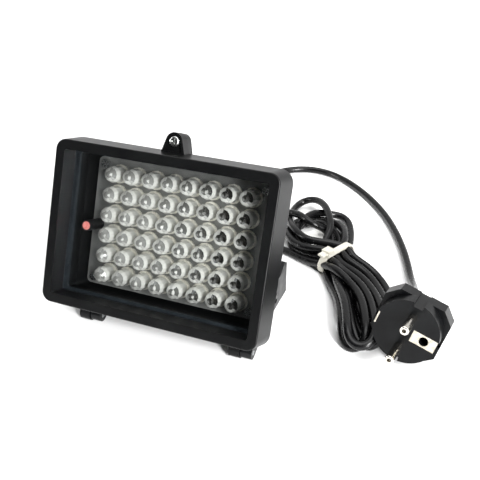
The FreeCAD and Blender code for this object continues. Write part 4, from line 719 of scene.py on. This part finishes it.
class Piece:
    """A mesh being built in metres in the model's frame, then made an object of the scene."""

    def __init__(self, name: str) -> None:
        """Start with an empty mesh.

        Args:
            name: Name of the piece.
        """
        self.name = name
        self.mesh = bmesh.new()

    def place(self, verts: Iterable[bmesh.types.BMVert], matrix: Matrix) -> None:
        """Move some of its points.

        Args:
            verts: The points.
            matrix: The move.
        """
        bmesh.ops.transform(self.mesh, matrix=matrix, verts=list(verts))

    def spin(self, profile: Sequence[Pair], sides: int, matrix: Matrix) -> None:
        """Turn a profile about the Z axis into a closed solid.

        Args:
            profile: Radius and height of each corner in millimetres, from the axis back to the axis.
            sides: Number of sides round it.
            matrix: Place of the solid.
        """
        earlier = set(self.mesh.verts)
        line = [self.mesh.verts.new((radius * MM, 0.0, height * MM)) for radius, height in profile]
        edges = [self.mesh.edges.new(ends) for ends in zip(line, line[1:])]
        turn = {"cent": (0, 0, 0), "axis": (0, 0, 1), "dvec": (0, 0, 0), "angle": 2 * math.pi}
        bmesh.ops.spin(self.mesh, geom=line + edges, steps=sides, use_merge=True, **turn)
        turned = [vert for vert in self.mesh.verts if vert not in earlier]
        bmesh.ops.remove_doubles(self.mesh, verts=turned, dist=MICRON)
        self.place([vert for vert in self.mesh.verts if vert not in earlier], matrix)

    def block(self, size: Point, middle: Point, matrix: Matrix, taper: float = 1.0) -> None:
        """Add a block that may narrow towards its top.

        Args:
            size: Its three sizes in millimetres.
            middle: Its middle in millimetres.
            matrix: Place of the block.
            taper: Width of its top as a share of its foot.
        """
        verts = bmesh.ops.create_cube(self.mesh, size=MM)["verts"]
        for vert in verts:
            narrow = taper if vert.co.z > 0 else 1.0
            vert.co.x *= size[0] * narrow
            vert.co.y *= size[1] * narrow
            vert.co.z *= size[2]
            vert.co += Vector(middle) * MM
        self.place(verts, matrix)

    def build(self, material: bpy.types.Material, smooth_angle: float = 40.0) -> bpy.types.Object:
        """Turn the mesh into an object of the scene.

        Args:
            material: Its material.
            smooth_angle: Edges sharper than this many degrees stay sharp.

        Returns:
            The object.
        """
        bmesh.ops.recalc_face_normals(self.mesh, faces=self.mesh.faces)
        data = bpy.data.meshes.new(self.name)
        self.mesh.to_mesh(data)
        self.mesh.free()
        data.materials.append(material)
        data.shade_smooth()
        data.set_sharp_from_angle(angle=math.radians(smooth_angle))
        thing = bpy.data.objects.new(self.name, data)
        bpy.context.scene.collection.objects.link(thing)
        return thing


@dataclass(frozen=True)
class EmitterField:
    """The lead frames and dies that show through the clear emitters, in millimetres.

    Heights inside an emitter are measured from the board, along its lens.

    Attributes:
        shop: Maker of the materials.
        rows: Rows of emitters.
        columns: Emitters in a row.
        pitch: Distance from one emitter to the next.
        shift: How far the field stands to the right of the lamp's middle.
        board: Depth of the board behind the front face.
        flange: Thickness of an emitter's flange on the board.
        foot: Height at which the two posts start.
        post: Thickness of a post.
        cup_top: Height of the cup's rim.
        cup: Corners of the cup, as radius and height over its rim.
        cup_sides: Number of sides round the cup.
        anvil_out: Distance from the cup's middle to the second post.
        anvil: Width and height of that post's head.
        anvil_drop: How far the head ends below the rim.
        anvil_taper: Width of the head's top as a share of its foot.
        die: Width and thickness of the die.
        die_gap: Glue line under the die.
    """

    shop: MaterialShop
    rows: int = 6
    columns: int = 8
    pitch: float = 12.15
    shift: float = 1.5
    board: float = 31.0
    flange: float = 1.4
    foot: float = 0.3
    post: float = 0.55
    cup_top: float = 6.2
    cup: tuple[Pair, ...] = ((0.0, -1.6), (0.8, -1.6), (1.7, 0.0), (1.45, 0.0), (0.65, -0.9), (0.0, -0.9))
    cup_sides: int = 14
    anvil_out: float = 2.5
    anvil: Pair = (1.7, 2.0)
    anvil_drop: float = 0.4
    anvil_taper: float = 0.6
    die: Pair = (0.9, 0.3)
    die_gap: float = 0.03

    def places(self) -> list[Matrix]:
        """Give the place of each emitter, its Z axis along the lens.

        Returns:
            One matrix for each emitter, at the board.
        """
        forward = Matrix.Rotation(math.pi / 2, 4, "X")
        found = []
        for row in range(self.rows):
            up = ((self.rows - 1) / 2 - row) * self.pitch
            for column in range(self.columns):
                out = (column - (self.columns - 1) / 2) * self.pitch + self.shift
                foot = Matrix.Translation(Vector((out, self.board, up)) * MM)
                found.append(LAMP.matrix() @ foot @ forward)
        return found

    def add_post(self, piece: Piece, out: float, top: float, place: Matrix) -> None:
        """Stand a square post on its foot height.

        Args:
            piece: Piece that it belongs to.
            out: Distance from the cup's middle.
            top: Height of its top.
            place: Place of the emitter.
        """
        piece.block((self.post, self.post, top - self.foot), (out, 0, (top + self.foot) / 2), place)

    def build(self) -> list[bpy.types.Object]:
        """Build one piece of lead frames and one of dies.

        Returns:
            The two pieces.
        """
        frames, dies = Piece("emitter_lead_frames"), Piece("emitter_dies")
        cup = [(radius, self.cup_top + over) for radius, over in self.cup]
        base, floor = cup[0][1], cup[-1][1]
        width, height = self.anvil
        head = self.cup_top - self.anvil_drop
        die_width, die_thick = self.die
        die_middle = floor + self.die_gap + die_thick / 2
        for place in self.places():
            frames.spin(cup, self.cup_sides, place)
            self.add_post(frames, 0.0, base, place)
            middle = (self.anvil_out, 0, head - height / 2)
            frames.block((width, self.post, height), middle, place, self.anvil_taper)
            self.add_post(frames, self.anvil_out, head - height, place)
            dies.block((die_width, die_width, die_thick), (0, 0, die_middle), place)
        made = [frames.build(self.shop.finish("lead_frame", LEAD_FRAME))]
        made.append(dies.build(self.shop.finish("die", DIE)))
        for thing in made:
            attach(thing, "housing")
        return made


@dataclass(frozen=True)
class StrainRelief:
    """The lead's strain relief in millimetres, measured along it from the rear wall.

    Attributes:
        shop: Maker of the materials.
        out: How far it stands to the right of the lamp's middle.
        up: How far it stands above the lamp's middle.
        wall: Depth of its seat behind the front face.
        collar: Corners of the collar, as radius and height.
        root: Radius of the taper at the collar.
        tip: Radius of the taper at its end.
        length: Length of the whole.
        ribs: Number of ribs.
        plain: Plain stretch at the end, as a share of the spacing of the ribs.
        rib_shape: Corners of a rib, as shares of the spacing and of the groove's depth.
        groove: Depth of the grooves.
        mouth: Corners of the mouth, as change of radius and distance from the end.
        bore: Radius of the bore.
        bore_depth: Depth of the bore.
        sides: Number of sides round it.
        smooth_angle: Edges sharper than this many degrees stay sharp.
    """

    shop: MaterialShop
    out: float = 10.0
    up: float = 16.0
    wall: float = 70.8
    collar: tuple[Pair, ...] = ((0.0, 0.0), (6.6, 0.0), (7.0, 0.5), (7.0, 1.9), (6.3, 2.6))
    root: float = 5.8
    tip: float = 3.6
    length: float = 30.0
    ribs: int = 6
    plain: float = 0.6
    rib_shape: tuple[Pair, ...] = ((0.12, 0.0), (0.5, 0.0), (0.58, 1.0), (0.94, 1.0))
    groove: float = 0.75
    mouth: tuple[Pair, ...] = ((0.05, 1.6), (-0.15, 0.4), (-0.5, 0.0))
    bore: float = 2.7
    bore_depth: float = 9.0
    sides: int = 36
    smooth_angle: float = 30.0

    def profile(self) -> list[Pair]:
        """Draw its outline: a collar, a taper cut by grooves, a mouth and the bore.

        Returns:
            Radius and height of each corner in millimetres.
        """
        corners = list(self.collar)
        thick = self.collar[-1][1]
        run = self.length - thick
        pitch = run / (self.ribs + self.plain)
        for rib in range(self.ribs):
            for share, cut in self.rib_shape:
                along = pitch * (rib + share)
                taper = self.root + (self.tip - self.root) * along / run
                corners.append((taper - cut * self.groove, thick + along))
        corners += [(self.tip + wider, self.length - before) for wider, before in self.mouth]
        floor = self.length - self.bore_depth
        return corners + [(self.bore, self.length), (self.bore, floor), (0.0, floor)]

    def build(self) -> bpy.types.Object:
        """Turn the strain relief in its place.

        Returns:
            The strain relief.
        """
        piece = Piece("strain_relief_boot")
        seat = Matrix.Translation(Vector((self.out, self.wall, self.up)) * MM)
        piece.spin(self.profile(), self.sides, LAMP.matrix() @ seat @ Matrix.Rotation(-math.pi / 2, 4, "X"))
        return piece.build(self.shop.finish("cord_rubber", FINISHES["cord_rubber"]), self.smooth_angle)


@dataclass(frozen=True)
class PaperFlag:
    """The blank paper flag that lies among the strands, in millimetres and degrees.

    Attributes:
        shop: Maker of the materials.
        length: Length of the flag.
        width: Width of the flag.
        thick: Thickness of the paper.
        middle: Place of its middle.
        turn: Turn about the upright axis.
        curl: Height of the curl.
        cup: Share of the curl that lifts the two ends.
        twist: Share of the curl that lifts two opposite corners.
        ripple: Height of the ripple across it.
        waves: Turn of the ripple from the middle to an edge, in radians.
        cells: Faces along it and across it.
        smooth_angle: Edges sharper than this many degrees stay sharp.
    """

    shop: MaterialShop
    length: float = 23.0
    width: float = 17.0
    thick: float = 0.3
    middle: Point = (59.5, 104.5, 1.4)
    turn: float = -40.0
    curl: float = 1.6
    cup: float = 0.75
    twist: float = 0.3
    ripple: float = 0.25
    waves: float = 5.0
    cells: tuple[int, int] = (20, 16)
    smooth_angle: float = 60.0

    def build(self) -> bpy.types.Object:
        """Cut the flag, curl it and lay it down.

        Returns:
            The flag.
        """
        piece = Piece("paper_flag")
        bmesh.ops.create_grid(piece.mesh, x_segments=self.cells[0], y_segments=self.cells[1], size=0.5)
        for vert in piece.mesh.verts:
            along, across = vert.co.x * 2, vert.co.y * 2
            lift = self.curl * (self.cup * along * along + self.twist * along * across)
            lift += self.ripple * math.sin(self.waves * across + along)
            vert.co = Vector((vert.co.x * self.length, vert.co.y * self.width, lift)) * MM
        bmesh.ops.solidify(piece.mesh, geom=piece.mesh.faces[:], thickness=self.thick * MM)
        turn = Matrix.Rotation(math.radians(self.turn), 4, "Z")
        piece.place(piece.mesh.verts, Matrix.Translation(Vector(self.middle) * MM) @ turn)
        return piece.build(self.shop.finish("tag_paper", FINISHES["tag_paper"]), self.smooth_angle)


@dataclass(frozen=True)
class MainsLead:
    """The lead from the lamp to its plug, with what sits on it, in metres.

    Attributes:
        shop: Maker of the materials.
        length: Length of the lead from its exit to its plug; not used.
        diameter: Diameter of its sheath.
        steps: Steps of the spline from one control point to the next.
        bevel_steps: Fineness of its round section.
    """

    shop: MaterialShop
    length: float = 2.21
    diameter: float = 5.2 * MM
    steps: int = 6
    bevel_steps: int = 5

    def route(self) -> list[Point]:
        """Join the runs of the lead into one line of control points.

        Returns:
            The points from the strain relief to the plug, in metres.
        """
        bundle = [point for turn in BUNDLE_TURNS for point in turn]
        return [*LEAD_OUT, *BUNDLE_ENTRY, *bundle, *LEAD_BACK]

    def cord(self) -> bpy.types.Object:
        """Lay the lead as one smooth spline with the bundle's turns in it.

        Returns:
            The lead.
        """
        data = bpy.data.curves.new("mains_lead", "CURVE")
        data.dimensions = "3D"
        data.bevel_depth = self.diameter / 2
        data.bevel_resolution = self.bevel_steps
        data.resolution_u = self.steps
        data.render_resolution_u = self.steps
        data.use_fill_caps = True
        points = self.route()
        spline = data.splines.new("NURBS")
        spline.points.add(len(points) - 1)
        for corner, point in zip(spline.points, points):
            corner.co = (*point, 1.0)
        spline.order_u = 3
        spline.use_endpoint_u = True
        spline.use_smooth = True
        data.materials.append(self.shop.finish("cord_rubber", FINISHES["cord_rubber"]))
        lead = bpy.data.objects.new("mains_lead", data)
        bpy.context.scene.collection.objects.link(lead)
        return lead

    def build(self) -> list[bpy.types.Object]:
        """Returns:
            The pieces.
        """
        lead, boot, flag = self.cord(), StrainRelief(self.shop).build(), PaperFlag(self.shop).build()
        for piece in (lead, boot, flag):
            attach(piece, "housing")
        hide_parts("cord_near", "cord_hank", "cord_far")
        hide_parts("cord_strain_relief")
        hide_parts("cord_tag")
        carried = [boot, flag, "cable_tie", "plug_body", "plug_pin_near", "plug_pin_far"]
        carried += ["plug_earth_contact", "plug_earth_contact_far"]
        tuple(LEAD_OUT[0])
        return [lead, boot, flag]


@dataclass(frozen=True)
class CadDresser:
    """Gives each CAD node the material of its slot.

    Attributes:
        frame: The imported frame.
        shop: Maker of the materials.
        emitters: Field of emitters, for the depth of their flanges.
    """

    frame: dict[str, Any]
    shop: MaterialShop
    emitters: EmitterField

    def material(self, slot: str) -> bpy.types.Material:
        """Give the material of a slot of the record.

        Args:
            slot: Name of the slot.

        Returns:
            The material.
        """
        if slot in self.shop.made:
            return self.shop.made[slot]
        if slot == "window_clear":
            return self.shop.window()
        if slot == "emitter_epoxy":
            flange_front = self.emitters.board - self.emitters.flange
            return self.shop.emitter(LAMP.depth(flange_front), LAMP.back())
        return self.shop.finish(slot, FINISHES[slot])

    def dress(self) -> int:
        """Give every CAD node its procedural material.

        Returns:
            How many nodes were dressed.
        """
        rows = self.frame["record"]["subparts"]
        for row in rows:
            node = self.frame["nodes"][row["node"]]
            material = self.material(row["material_slot"])
            for holder in node.material_slots:
                holder.material = material
        return len(rows)


@dataclass(frozen=True)
class Softbox:
    """One soft light of the studio, in metres and watts."""

    name: str
    place: Point
    size: Pair
    power: float
    aim: Point = (0.02, 0.0, 0.05)


SOFTBOXES = (
    Softbox("key_above", (0.1, 0.1, 1.5), (1.5, 1.3), 20.0),
    Softbox("front_right", (0.9, -0.8, 0.5), (0.2, 0.9), 50.0),
    Softbox("strip_left", (-1.0, -0.3, 0.4), (0.12, 0.8), 6.0),
)


@dataclass(frozen=True)
class Studio:
    """Camera, soft lights, room and a plain pale table, in metres.

    Attributes:
        eye: Place of the photograph's camera.
        right: Direction to the right of its picture.
        up: Direction to the top of its picture.
        ahead: Direction that it looks in.
        lens: Focal length in millimetres.
        sensor: Width of the sensor in millimetres.
        clip: Nearest distance that it sees.
        bright_way: Direction in which the room is brightest, behind and above the lamp.
        bright_edge: Cosines from that direction between which the room brightens.
        bright: Strength of the room in front of the lamp and behind it.
        table_half: Half the side of the table.
        table_drop: How far the table lies under the lamp, so that no two faces coincide.
        table_colour: Colour of the table.
    """

    eye: Point = (0.1654, -0.3187, 0.2566)
    right: Point = (0.9307, 0.3658, 0.0)
    up: Point = (-0.1861, 0.4735, 0.8609)
    ahead: Point = (-0.3149, 0.8013, -0.5087)
    lens: float = 52.5
    sensor: float = 36.0
    clip: float = 0.01
    bright_way: Point = (0.05, 0.8, 0.6)
    bright_edge: Pair = (-0.2, 0.7)
    bright: Pair = (0.03, 0.85)
    table_half: float = 1.0
    table_drop: float = 0.02 * MM
    table_colour: str = "#ededed"

    def camera(self) -> None:
        """Place the camera where the photograph was taken from."""
        data = bpy.data.cameras.new("camera")
        data.lens = self.lens
        data.sensor_width = self.sensor
        data.clip_start = self.clip
        camera = bpy.data.objects.new("camera", data)
        turn = Matrix((self.right, self.up, -Vector(self.ahead))).transposed()
        camera.matrix_world = Matrix.Translation(self.eye) @ turn.to_4x4()
        bpy.context.scene.collection.objects.link(camera)
        bpy.context.scene.camera = camera

    def lights(self) -> None:
        """Hang the softboxes."""
        for box in SOFTBOXES:
            data = bpy.data.lights.new(box.name, "AREA")
            data.shape = "RECTANGLE"
            data.size, data.size_y = box.size
            data.energy = box.power
            lamp = bpy.data.objects.new(box.name, data)
            ray = Vector(box.aim) - Vector(box.place)
            lamp.rotation_mode = "QUATERNION"
            lamp.rotation_quaternion = ray.to_track_quat("-Z", "Y")
            lamp.location = box.place
            bpy.context.scene.collection.objects.link(lamp)

    def room(self) -> None:
        """Make the room: white to the camera, bright behind and above the lamp, dim in front."""
        world = bpy.data.worlds.new("room")
        world.use_nodes = True
        bpy.context.scene.world = world
        sheet = NodeSheet(world.node_tree)
        ray = sheet.add("TexCoord").outputs["Generated"]
        height = sheet.add("VectorMath", {0: ray, 1: self.bright_way}, operation="DOT_PRODUCT")
        edges = {"From Min": self.bright_edge[0], "From Max": self.bright_edge[1]}
        limits = {"To Min": self.bright[0], "To Max": self.bright[1]}
        inputs = {"Value": height.outputs["Value"], **edges, **limits}
        light = sheet.add("MapRange", inputs, interpolation_type="SMOOTHSTEP")
        seen = sheet.add("LightPath").outputs["Is Camera Ray"]
        around = sheet.add("Background", {"Color": linear("#ffffff"), "Strength": light})
        white = sheet.add("Background", {"Color": linear("#ffffff"), "Strength": 1.0})
        both = sheet.add("MixShader", {0: seen, 1: around, 2: white})
        sheet.add("OutputWorld", {"Surface": both})

    def table(self) -> None:
        """Lay the pale table under the lamp, white in the picture apart from soft shadows."""
        piece = Piece("table")
        bmesh.ops.create_grid(piece.mesh, x_segments=1, y_segments=1, size=self.table_half)
        material = bpy.data.materials.new("table_white")
        material.use_nodes = True
        sheet = NodeSheet(material.node_tree)
        matt = sheet.add("BsdfDiffuse", {"Color": linear(self.table_colour)})
        sheet.add("OutputMaterial", {"Surface": matt})
        table = piece.build(material)
        table.location.z = -self.table_drop
        table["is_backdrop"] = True

    def build(self) -> None:
        """Set the whole studio up."""
        self.camera()
        self.lights()
        self.room()
        self.table()
        bpy.context.scene.view_settings.view_transform = "Standard"


def main() -> None:
    """Build the looks and work out the two boxes, the CAD's and the finished model's."""
    logging.basicConfig(level=logging.INFO, format="%(name)s: %(message)s")
    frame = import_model()
    cad_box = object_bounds()
    shop = MaterialShop()
    emitters = EmitterField(shop)
    LOG.info("dressed %d CAD nodes", CadDresser(frame, shop, emitters).dress())
    for piece in [*emitters.build(), *MainsLead(shop).build()]:
        LOG.info("built %s", piece.name)
    Studio().build()
    boxes = {"cad": cad_box, "visual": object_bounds()}
    {name: [list(corner) for corner in box] for name, box in boxes.items()}


if __name__ == "__main__":
    main()
